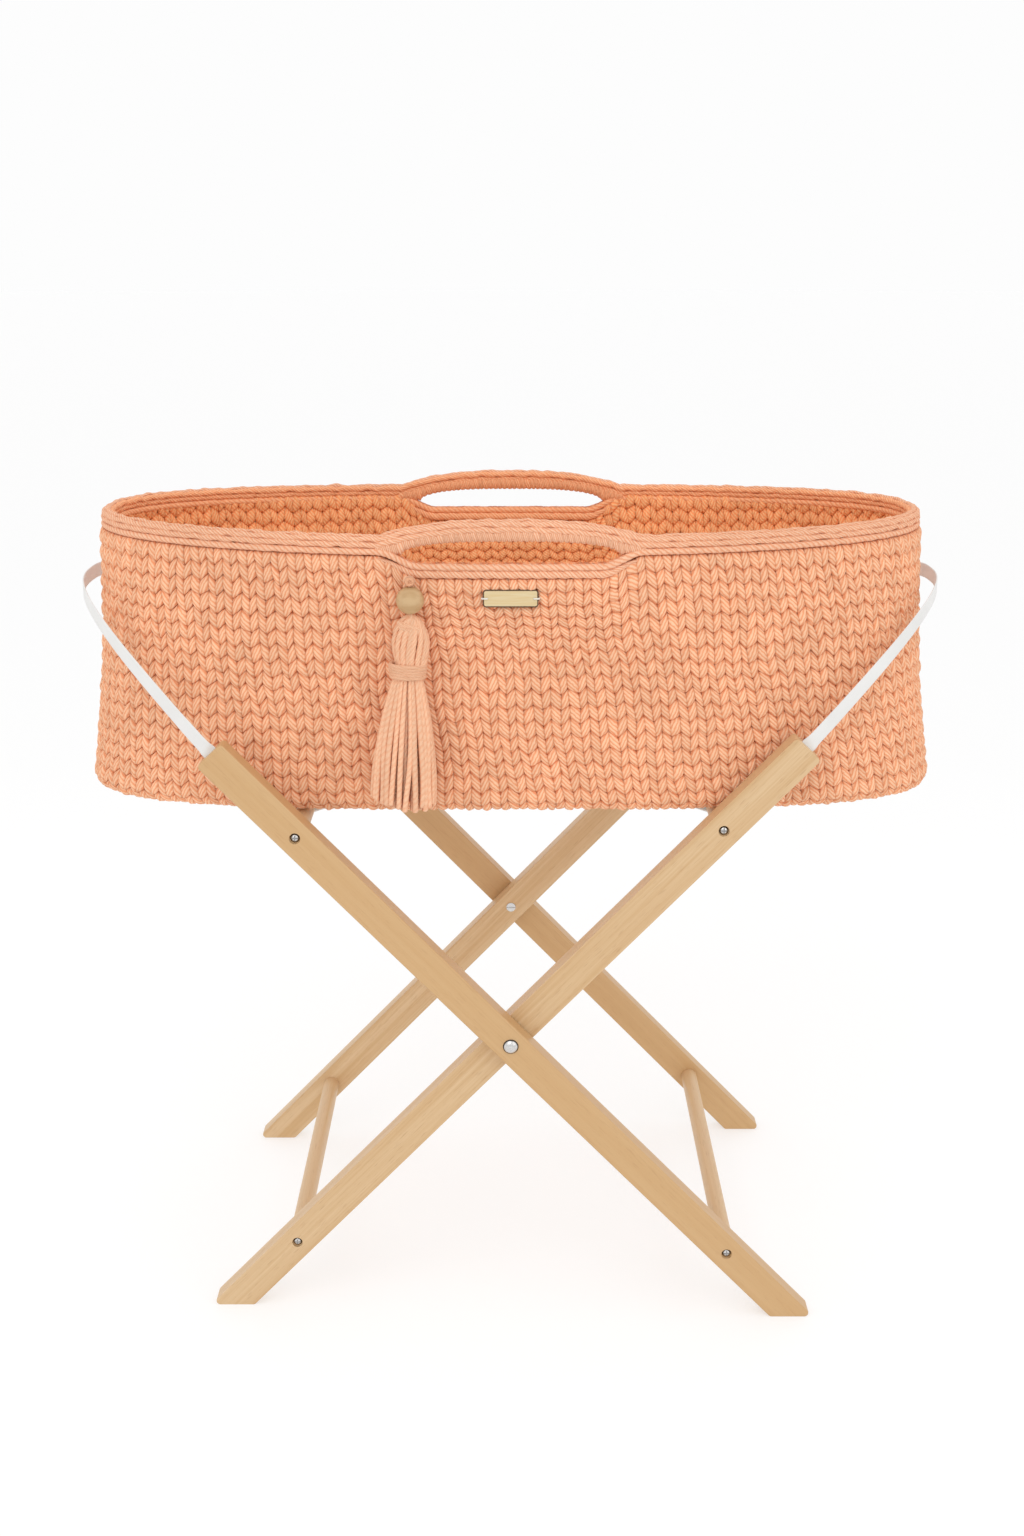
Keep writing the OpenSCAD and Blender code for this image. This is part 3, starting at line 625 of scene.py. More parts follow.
# Uneven work: wander of the corners, and waves by their height, number round the basket and drift per row
WANDER = 0.05
WAVES = ((0.10, 5, 0.11), (0.07, 13, -0.07))
SIZE_SPREAD = 0.09
SIZE_RANGE = (0.75, 1.2)
# Plies run down to the right in a left lobe, and steeply up to the right in a right one
LEFT_SLANT = math.radians(-42)
RIGHT_SLANT = math.radians(65)
STITCH_WIDTH = 0.0166
ROW_HEIGHT = 0.0134
PLY_SHIFT = 7
# A ring is cut into stacked lengths on the bake map, with gaps between them
BAKE_STACK = 4
BAKE_GAP = 0.04
BAKE_EDGE = 0.005


def lobe_round(s):
    """Swell across a lobe."""
    return SIDE_SWELL + (1 - SIDE_SWELL) * (1 - np.abs(2 * s - 1) ** FLANK_POWER) ** ROUND_POWER


def lobe_climb(t):
    """Swell up a lobe."""
    rising = (1 - (1 - np.minimum(t, PEAK) / PEAK) ** 2) ** RISE_POWER
    falling = 1 - FALL * (np.maximum(t - PEAK, 0) / (1 - PEAK)) ** FALL_POWER
    return np.where(t < PEAK, rising, falling)


def pit(across, up, size):
    """1 at the tip of a stitch, 0 away from it."""
    return np.exp(-(across / size[0]) ** 2 - (up / size[1]) ** 2)


class Stitching:
    """Corners of all stitches of a fabric, uneven as hand work is."""

    def __init__(self, columns, rows, look, seed, mirrored=False):
        draw = np.random.default_rng(seed)
        lobes = 2 * columns
        left = 1 - look.left_share if mirrored else look.left_share
        self.columns = columns
        self.rows = rows
        self.lobes = lobes
        self.mirrored = mirrored
        c = np.arange(lobes)
        u = (c // 2 + np.where(c % 2, left, 0))[:, None] + np.zeros((1, rows + 1))
        v = np.arange(rows + 1)[None, :] + np.zeros((lobes, 1))
        tips = np.where(c % 2, -0.5, 0.5)[:, None] * look.zigzag
        # The bottom row has half the zigzag, and the top edge none
        swing = np.ones(rows + 1)
        swing[0] = 0.5
        swing[-1] = 0
        wander = draw.normal(0, WANDER, (2, lobes, rows + 1))
        wave = sum(height * np.sin(2 * np.pi * (count * c[:, None] / lobes + drift * v))
                   for height, count, drift in WAVES)
        lean = -look.lean if mirrored else look.lean
        self.u = u + wander[0] - lean * v + 0.5 * wave
        self.v = v + (tips + wander[1] + wave) * swing[None, :]
        self.size = np.clip(draw.normal(1, SIZE_SPREAD, (lobes, rows)), *SIZE_RANGE)
        self.tone = draw.random((lobes, rows))
        self.shift = draw.random((lobes, rows))

    def corner(self, c, r):
        """Place of a corner in stitches and rows, past the last column too."""
        wrapped = c // self.lobes
        return self.u[c % self.lobes, r] + wrapped * self.columns, self.v[c % self.lobes, r]


def stitched_skin(stitching, look, first, last, place, bake_box):
    """Skin of the rows from first to last. place turns shares round and up, and a rise, into points."""
    across_count = len(ACROSS)
    climb_count = len(CLIMB)
    width = stitching.lobes * across_count
    height = (last - first) * climb_count + 1
    g = np.arange(width + 1)
    h = np.arange(height)
    row = np.minimum(first + h // climb_count, last - 1)
    at_top = h == height - 1
    t = np.where(at_top, 1.0, CLIMB[h % climb_count])[:, None]
    hang = np.where(at_top, 0.0, OVERHANG[h % climb_count])[:, None]
    s = ACROSS[g % across_count][None, :]
    L, R = np.meshgrid(g // across_count, row)
    u00, v00 = stitching.corner(L, R)
    u10, v10 = stitching.corner(L + 1, R)
    u01, v01 = stitching.corner(L, R + 1)
    u11, v11 = stitching.corner(L + 1, R + 1)
    u = (1 - t) * ((1 - s) * u00 + s * u10) + t * ((1 - s) * u01 + s * u11)
    v = (1 - t) * ((1 - s) * v00 + s * v10) + t * ((1 - s) * v01 + s * v11)
    swell = lobe_round(s) * np.where(at_top[:, None], 0, lobe_climb(t))
    swell = swell * stitching.size[L % stitching.lobes, R]
    tip = np.where(L % 2, s, 1 - s)
    to_line = np.minimum(t, 1 - t)
    deep = np.maximum(pit(tip, to_line, LOW_PIT), TOP_PIT_DEPTH * pit(1 - tip, to_line, TOP_PIT))
    v = v - hang * (1 - LEAST_OVERHANG * tip)
    rise = look.plump * (swell - PIT_DEPTH * deep)
    points = place(u / stitching.columns, v / stitching.rows, rise - look.plump + PROUD)
    quads, corner_r, corner_c = grid_quads(height, width)
    face_r = corner_r[:, 0]
    face_c = corner_c[:, 0]
    face_lobe = face_c // across_count
    face_row = np.minimum(first + face_r // climb_count, last - 1)
    slant = np.where(face_lobe % 2, RIGHT_SLANT, LEFT_SLANT)
    if stitching.mirrored:
        slant = -slant
    x = u[corner_r, corner_c] * STITCH_WIDTH
    y = v[corner_r, corner_c] * ROW_HEIGHT
    over = (-x * np.sin(slant)[:, None] + y * np.cos(slant)[:, None]) / look.ply
    along = (x * np.cos(slant)[:, None] + y * np.sin(slant)[:, None]) / look.ply
    strand = np.stack([over + PLY_SHIFT * stitching.shift[face_lobe, face_row][:, None], along], axis=2)
    stack = face_c * BAKE_STACK // width
    local = corner_c * BAKE_STACK / width - stack[:, None]
    low, high = bake_box
    band = (high - low) / BAKE_STACK
    bake_v = low + band * (stack[:, None] + BAKE_GAP + (1 - 2 * BAKE_GAP) * corner_r / (height - 1))
    bake = np.stack([BAKE_EDGE + (1 - 2 * BAKE_EDGE) * local, bake_v], axis=2)
    # Painted shade: lit picks the cord's colour, darker on the lobes' sides and bottoms, on the line between
    # lobes and in the pits
    side_line = np.where(s == 0, SIDE_LINE, 1)
    lit = np.clip(swell * side_line * (1 - PIT_SHADE * deep), 0, 1)
    tone = stitching.tone[face_lobe, face_row]
    return Skin(points[:, :-1].reshape(-1, 3), quads, strand, lit[:, :-1].ravel(), tone, bake)


def closing_strip(first_ring, second_ring):
    """Quads between two rings of points in one list."""
    after = np.roll(np.arange(len(first_ring)), -1)
    return np.stack([first_ring, first_ring[after], second_ring[after], second_ring], axis=1)


def closed_band(outer, inner, width):
    """A solid ring out of an outer and an inner skin with as many columns."""
    band = joined([outer, inner])
    start = len(outer.points)
    ring = np.arange(width)
    low = closing_strip(ring, start + ring)
    high = closing_strip(start - width + ring, len(band.points) - width + ring)
    # Both skins run the same way round, so the inner one is turned to face inwards
    first = len(outer.quads)
    for rows in (band.quads, band.strand, band.bake):
        rows[first:] = rows[first:, ::-1].copy()
    strips = np.concatenate([low[:, ::-1], high])
    blank = np.zeros((len(strips), 4, 2))
    strip_bake = blank + np.array([0.5, 1 - BAKE_EDGE])
    return Skin(band.points, np.concatenate([band.quads, strips]), np.concatenate([band.strand, blank]),
                band.rise, np.concatenate([band.tone, np.full(len(strips), MID_TONE)]),
                np.concatenate([band.bake, strip_bake]))


# Materials

class Shader:
    """A material's node tree, built one node at a time."""

    def __init__(self, name, **surface):
        self.material = bpy.data.materials.new(name)
        self.material.use_nodes = True
        self.tree = self.material.node_tree
        self.tree.nodes.clear()
        self.surface = self.add("ShaderNodeBsdfPrincipled", surface)
        output = self.add("ShaderNodeOutputMaterial")
        self.tree.links.new(self.surface.outputs["BSDF"], output.inputs["Surface"])

    def feed(self, socket, value):
        if isinstance(value, bpy.types.NodeSocket):
            self.tree.links.new(value, socket)
        elif socket.type == "RGBA" and len(value) == 3:
            socket.default_value = (*value, 1)
        else:
            socket.default_value = value

    def add(self, kind, inputs=None, **settings):
        node = self.tree.nodes.new(kind)
        for key, value in settings.items():
            setattr(node, key, value)
        for key, value in (inputs or {}).items():
            self.feed(node.inputs[key], value)
        return node

    def set(self, **sockets):
        for key, value in sockets.items():
            self.feed(self.surface.inputs[key.replace("_", " ")], value)

    def math(self, operation, a, b=0.0):
        return self.add("ShaderNodeMath", {0: a, 1: b}, operation=operation).outputs[0]

    def weighted(self, *pairs):
        """Sum of two values, each with its weight."""
        return self.math("ADD", *(self.math("MULTIPLY", value, weight) for value, weight in pairs))

    def mix(self, factor, a, b, blend="MIX"):
        node = self.add("ShaderNodeMix", {0: factor, 6: a, 7: b}, data_type="RGBA", blend_type=blend)
        return node.outputs[2]

    def shaded(self, base, tint):
        """A colour times a grey tint."""
        grey = self.add("ShaderNodeCombineColor", {0: tint, 1: tint, 2: tint}).outputs[0]
        return self.mix(1.0, base, grey, "MULTIPLY")

    def ramp(self, factor, stops):
        node = self.add("ShaderNodeValToRGB", {"Fac": factor})
        elements = node.color_ramp.elements
        while len(elements) < len(stops):
            elements.new(0.5)
        for element, (position, value) in zip(elements, stops):
            element.position = position
            element.color = (*value, 1)
        return node.outputs["Color"]

    def range(self, value, low, high, to_low=0.0, to_high=1.0):
        node = self.add("ShaderNodeMapRange", {0: value, 1: low, 2: high, 3: to_low, 4: to_high})
        return node.outputs[0]

    def noise(self, vector, scale=1.0, detail=2.0, roughness=0.5):
        inputs = {"Vector": vector, "Scale": scale, "Detail": detail, "Roughness": roughness}
        return self.add("ShaderNodeTexNoise", inputs).outputs["Fac"]

    def attribute(self, name):
        return self.add("ShaderNodeAttribute", attribute_name=name).outputs["Fac"]

    def place(self):
        """Coordinates in metres that stay on the object."""
        return self.add("ShaderNodeTexCoord").outputs["Object"]

    def stretched(self, vector, scale):
        node = self.add("ShaderNodeVectorMath", {0: vector, 1: scale}, operation="MULTIPLY")
        return node.outputs[0]

    def uv(self, name):
        node = self.add("ShaderNodeUVMap", uv_map=name)
        parts = self.add("ShaderNodeSeparateXYZ", {0: node.outputs[0]})
        return parts.outputs[0], parts.outputs[1]

    def bump(self, height, strength, distance):
        inputs = {"Height": height, "Strength": strength, "Distance": distance}
        self.set(Normal=self.add("ShaderNodeBump", inputs).outputs[0])


FINISHES = {}
# How far the painted shade and highlight of the plies fade on some cords
PLAIN_CORDS = {"tassel": 0.6}


def finish(name, maker, *details):
    """The scene's own material of that name, made on its first use."""
    if name not in FINISHES:
        FINISHES[name] = maker(f"{name}_finish", *details)
    return FINISHES[name]


def scaled(colour_value, factors):
    """A colour with each of its parts multiplied."""
    return tuple(c * f for c, f in zip(colour_value, factors))


def cord_yarn(name, look, crest, body, plain):
    """Cotton cord: plies along each strand, painted shade in the creases and between the plies, painted
    highlights on the plies' backs, and a soft fuzz. plain fades the plies' painted shade and highlight.
    """
    ply_shade_strength = 0.8 * (1 - plain)
    ply_highlight_strength = 0.6 * (1 - plain)
    ply_shade_colour = scaled(body, (0.92, 0.71, 0.58))
    ply_highlight_colour = tuple(min(1, c) for c in scaled(crest, (1.02, 1.12, 1.16)))
    shader = Shader(name, Roughness=0.86)
    shader.set(Sheen_Weight=0.1, Sheen_Roughness=0.45, Sheen_Tint=crest, Specular_IOR_Level=0.25)
    place = shader.place()
    wobble = shader.noise(place, scale=260)
    across = shader.math("ADD", shader.uv(STRAND_MAP)[0], shader.math("MULTIPLY", wobble, 0.7))
    wave = shader.math("SINE", shader.math("MULTIPLY", across, 2 * math.pi))
    ply = shader.range(wave, -1, 1)
    fibre = shader.noise(place, scale=1900, detail=3, roughness=0.7)
    patch = shader.noise(place, scale=9)
    # Painted light and shade: the rise picks the pit and crease colours in the creases, body and crest where
    # light reaches
    base = shader.ramp(shader.attribute("rise"), [(0.04, tuple(look.pit)), (0.20, tuple(look.crease)),
                                                  (0.44, body), (0.80, crest)])
    # Painted shade in the grooves between the plies, and a painted highlight on their backs
    ply_shade = shader.math("POWER", shader.math("SUBTRACT", 1.0, ply), 2.0)
    base = shader.mix(shader.math("MULTIPLY", ply_shade, ply_shade_strength), base, ply_shade_colour)
    ply_highlight = shader.math("POWER", ply, 2.0)
    base = shader.mix(shader.math("MULTIPLY", ply_highlight, ply_highlight_strength), base, ply_highlight_colour)
    tint = shader.range(shader.attribute("tone"), 0, 1, 0.93, 1.05)
    tint = shader.math("MULTIPLY", tint, shader.range(patch, 0.3, 0.7, 0.96, 1.04))
    tint = shader.math("MULTIPLY", tint, shader.range(fibre, 0.25, 0.75, 0.92, 1.06))
    shader.set(Base_Color=shader.shaded(base, tint))
    shader.bump(shader.weighted((ply, 0.8), (fibre, 0.45)), strength=0.75, distance=0.0008)
    return shader.material


def yarn(scene, part):
    """Cord of one part of the basket, in its own two colours."""
    look = scene.yarn_look
    crest = tuple(getattr(look, f"{part}_crest"))
    body = tuple(getattr(look, f"{part}_body"))
    return finish(f"{part}_yarn", cord_yarn, look, crest, body, PLAIN_CORDS.get(part, 0))


def beech(name, look, turn, shift, tint=(1, 1, 1), figure=0.6):
    """Lacquered beech with its grain along one direction: turn lays the piece along X.

    figure is the strength of its bands and flecks.
    """
    shader = Shader(name, Roughness=0.42)
    shader.set(Coat_Weight=0.12, Coat_Roughness=0.3, Specular_IOR_Level=0.4)
    turned = shader.add("ShaderNodeMapping", {"Vector": shader.place(), "Rotation": turn, "Location": shift})
    along = turned.outputs[0]
    bands = shader.noise(shader.stretched(along, (1.4, 90, 90)), detail=3, roughness=0.55)
    fine = shader.noise(shader.stretched(along, (7, 560, 560)), detail=3, roughness=0.6)
    flecks = shader.noise(shader.stretched(along, (70, 1100, 1100)), detail=1, roughness=0.4)
    tone = shader.weighted((bands, 0.62), (fine, 0.38))
    pairs = [(0.5 * (d + l) * t, 0.5 * (l - d) * t)
             for d, l, t in zip(look.wood_dark, look.wood_light, tint)]
    dark = tuple(middle - figure * swing for middle, swing in pairs)
    light = tuple(middle + figure * swing for middle, swing in pairs)
    base = shader.ramp(tone, [(0.36, dark), (0.6, light)])
    fleck = shader.range(flecks, 0.62, 0.74, 0, 0.12 + 0.2 * figure)
    shader.set(Base_Color=shader.mix(fleck, base, tuple(look.fleck)))
    shader.set(Roughness=shader.range(fine, 0.3, 0.7, 0.36, 0.5))
    shader.bump(shader.math("SUBTRACT", fine, fleck), strength=0.16, distance=0.0005)
    return shader.material


def polished_steel(name, recess=0.0):
    """Polished steel with fine wear, and painted shade in the recesses that lie nearer to the middle than a
    depth.
    """
    blur = 0.0003
    recess_shade = (0.06, 0.045, 0.035)
    shader = Shader(name, Metallic=1.0, Roughness=0.16)
    place = shader.place()
    wear = shader.noise(place, scale=900, detail=3, roughness=0.6)
    bright = shader.ramp(wear, [(0.3, (0.55, 0.54, 0.53)), (0.7, (0.72, 0.71, 0.70))])
    # Painted shade: the steel is dark where it lies nearer the middle of the stand than the recess depth, in
    # the drives and counterbores
    depth = shader.math("ABSOLUTE", shader.add("ShaderNodeSeparateXYZ", {0: place}).outputs[1])
    sunk = shader.range(depth, recess - blur, recess + blur, 1.0, 0.0)
    shader.set(Base_Color=shader.mix(sunk, bright, recess_shade))
    shader.set(Roughness=shader.range(wear, 0.3, 0.7, 0.14, 0.3))
    shader.bump(shader.noise(place, scale=3000), strength=0.05, distance=0.0002)
    return shader.material


def woven_webbing(name, look):
    """Plain woven cotton tape: a map in millimetres, across and along."""
    warp_mm = 1.1
    weft_mm = 1.5
    # Painted light: the webbing glows faintly, so that its shaded side isn't dark
    glow = 0.3
    shader = Shader(name, Roughness=0.8)
    shader.set(Sheen_Weight=0.12, Sheen_Roughness=0.5, Specular_IOR_Level=0.25)
    across, along = shader.uv(STRAND_MAP)
    warp = shader.math("SINE", shader.math("MULTIPLY", across, 2 * math.pi / warp_mm))
    weft = shader.math("SINE", shader.math("MULTIPLY", along, 2 * math.pi / weft_mm))
    weave = shader.range(shader.math("MULTIPLY", warp, weft), -1, 1)
    soil = shader.noise(shader.place(), scale=30, detail=3)
    fibre = shader.noise(shader.place(), scale=2500)
    bright = tuple(look.webbing)
    base = shader.mix(weave, tuple(c * 0.86 for c in bright), bright)
    tint = shader.math("MULTIPLY", shader.range(soil, 0.3, 0.7, 0.96, 1.03),
                       shader.range(fibre, 0.2, 0.8, 0.95, 1.05))
    shader.set(Base_Color=shader.shaded(base, tint))
    shader.bump(shader.weighted((weave, 1.0), (fibre, 0.4)), strength=0.35, distance=0.0004)
    # Painted light: a faint glow in the webbing's own colour
    shader.set(Emission_Color=bright, Emission_Strength=glow)
    return shader.material


def turned_wood(name, colour_value):
    """Small turned wood with fine grain along X."""
    shader = Shader(name, Roughness=0.5)
    shader.set(Specular_IOR_Level=0.35)
    grain = shader.noise(shader.stretched(shader.place(), (14, 147, 147)), detail=3, roughness=0.6)
    dark = scaled(colour_value, (0.86, 0.8, 0.72))
    shader.set(Base_Color=shader.ramp(grain, [(0.35, dark), (0.6, colour_value)]))
    shader.bump(grain, strength=0.12, distance=0.0003)
    return shader.material


def fibre_board(name):
    """Pressed fibre board."""
    shader = Shader(name, Roughness=0.75)
    chips = shader.noise(shader.place(), scale=420, detail=4, roughness=0.7)
    dark = screen_colour(150, 112, 72)
    light = screen_colour(190, 150, 104)
    shader.set(Base_Color=shader.ramp(chips, [(0.35, dark), (0.65, light)]))
    shader.bump(chips, strength=0.2, distance=0.0004)
    return shader.material


def jersey_cover(name, look):
    """Soft cotton jersey with fine ribs."""
    shader = Shader(name, Roughness=0.9)
    shader.set(Sheen_Weight=0.3, Sheen_Roughness=0.5, Specular_IOR_Level=0.2)
    place = shader.place()
    ribs = shader.add("ShaderNodeTexWave", {"Vector": place, "Scale": 260, "Distortion": 1.2, "Detail": 2.0},
                      wave_type="BANDS", bands_direction="Y").outputs["Fac"]
    cloud = shader.noise(place, scale=22, detail=3)
    light = tuple(look.cover)
    dim = tuple(c * 0.9 for c in light)
    shader.set(Base_Color=shader.mix(shader.weighted((ribs, 0.5), (cloud, 0.5)), dim, light))
    shader.bump(shader.weighted((ribs, 1.0), (cloud, 2.0)), strength=0.25, distance=0.0006)
    return shader.material


def cotton_thread(name):
    """Pale twisted thread, with painted shade in the creases of its twist."""
    shader = Shader(name, Roughness=0.8)
    dark = screen_colour(150, 140, 125)
    light = screen_colour(228, 224, 214)
    shader.set(Base_Color=shader.ramp(shader.attribute("rise"), [(0.1, dark), (0.8, light)]))
    shader.bump(shader.noise(shader.place(), scale=4000), strength=0.3, distance=0.0003)
    return shader.material


# Operators

# Lights: name, place, diameter and share of the key light's power
LIGHTS = (
    ("key_light", (-0.9, -2.2, 2.6), 2.6, 1.0),
    ("fill_light", (1.8, -1.6, 1.6), 2.2, 0.35),
)
LIGHT_TARGET = Vector((0, 0, 0.5))


class BASKET_OT_stage(bpy.types.Operator):
    """Set the camera, the pale floor and the soft light"""

    bl_idname = "basket.stage"
    bl_label = "Stage"
    bl_options = {"REGISTER", "UNDO"}

    def execute(self, context):
        scene = context.scene
        look = scene.studio_look
        camera_data = bpy.data.cameras.new("camera")
        camera_data.lens = look.lens
        camera_data.sensor_width = 36
        camera_data.clip_end = 60
        camera = link(bpy.data.objects.new("camera", camera_data))
        camera.location = look.camera
        camera.rotation_euler = (math.pi / 2 - look.pitch, 0, 0)
        scene.camera = camera
        scene.view_settings.view_transform = "Standard"
        world = bpy.data.worlds.new("studio")
        world.use_nodes = True
        sky = world.node_tree.nodes["Background"]
        sky.inputs["Color"].default_value = (*look.floor, 1)
        sky.inputs["Strength"].default_value = look.sky
        scene.world = world
        self.floor(look)
        for name, place, size, power_share in LIGHTS:
            self.light(name, Vector(place), size, power_share * look.key)
        return {"FINISHED"}

    def floor(self, look):
        """A wide disc with a faint light of its own, so that no horizon shows."""
        near = 0.3
        far = 2.0
        glow_near = 0.52
        glow_far = 0.48
        mesh = bpy.data.meshes.new("floor")
        work = bmesh.new()
        bmesh.ops.create_circle(work, cap_ends=True, segments=96, radius=40)
        work.to_mesh(mesh)
        work.free()
        shader = Shader("floor_paint", Roughness=0.9)
        shader.set(Base_Color=(0.5, 0.5, 0.5), Specular_IOR_Level=0.1)
        length_node = shader.add("ShaderNodeVectorMath", {0: shader.place()}, operation="LENGTH")
        glow = shader.range(length_node.outputs["Value"], near, far, glow_near, glow_far)
        shader.set(Emission_Color=tuple(look.floor), Emission_Strength=glow)
        mesh.materials.append(shader.material)
        floor = link(bpy.data.objects.new("floor", mesh))

    def light(self, name, place, size, power):
        data = bpy.data.lights.new(name, "AREA")
        data.shape = "DISK"
        data.size = size
        data.energy = power
        lamp = link(bpy.data.objects.new(name, data))
        lamp.location = place
        lamp.rotation_euler = (LIGHT_TARGET - place).to_track_quat("-Z", "Y").to_euler()


# Shares of the bake map for the two faces of the wall
OUTER_BAKE = (0.0, 0.49)
INNER_BAKE = (0.5, 0.99)


class BASKET_OT_wall(bpy.types.Operator):
    """Stitch the wall, inside and outside, in four rings of rows"""

    bl_idname = "basket.wall"
    bl_label = "Stitched wall"
    bl_options = {"REGISTER", "UNDO"}

    def execute(self, context):
        scene = context.scene
        look = scene.yarn_look
        oval = Oval(scene.basket_shape)
        outer = Stitching(look.stitches, look.rows, look, seed=3)
        inner = Stitching(look.stitches, look.rows, look, seed=4, mirrored=True)
        width = outer.lobes * len(ACROSS)
        rings = 4
        cuts = np.linspace(0, look.rows, rings + 1).round().astype(int)
        for number, (first, last) in enumerate(zip(cuts[:-1], cuts[1:]), 1):
            shell = closed_band(
                stitched_skin(outer, look, first, last, oval.outside, OUTER_BAKE),
                stitched_skin(inner, look, first, last, oval.inside, INNER_BAKE),
                width,
            )
            piece = skin_piece(f"wall_rows_{number}", facing_out(shell), yarn(scene, "stitched"))
            faces_outside = (last - first) * len(CLIMB) * width
            order = np.arange(len(piece.data.polygons))
            inner_faces = (order >= faces_outside) & (order < 2 * faces_outside)
            # The inner faces take the inside cord, a brighter, redder copy of the same cord: painted bounce
            # light inside the basket
            paint_faces(piece, inner_faces, yarn(scene, "inside"))
            settle(piece, "basket", "yarn", "knit_wall")
        return {"FINISHED"}


# Cords of the rim: out from the wall's middle, up from the rim's foot, radius, and how far the side that
# keeps its painted light is tilted up, in degrees; the other side is painted in shade
RimCord = namedtuple("RimCord", "out lift radius tilt")
TOP_CORD = RimCord(0, 0.0152, 0.0029, 90)
SIDE_CORDS = {
    "outside": (RimCord(0.0040, 0.0089, 0.0031, 20), RimCord(0.0034, 0.0133, 0.0030, 50)),
    "inside": (RimCord(-0.0022, 0.0089, 0.0031, 20), RimCord(-0.0034, 0.0133, 0.0030, 50)),
}


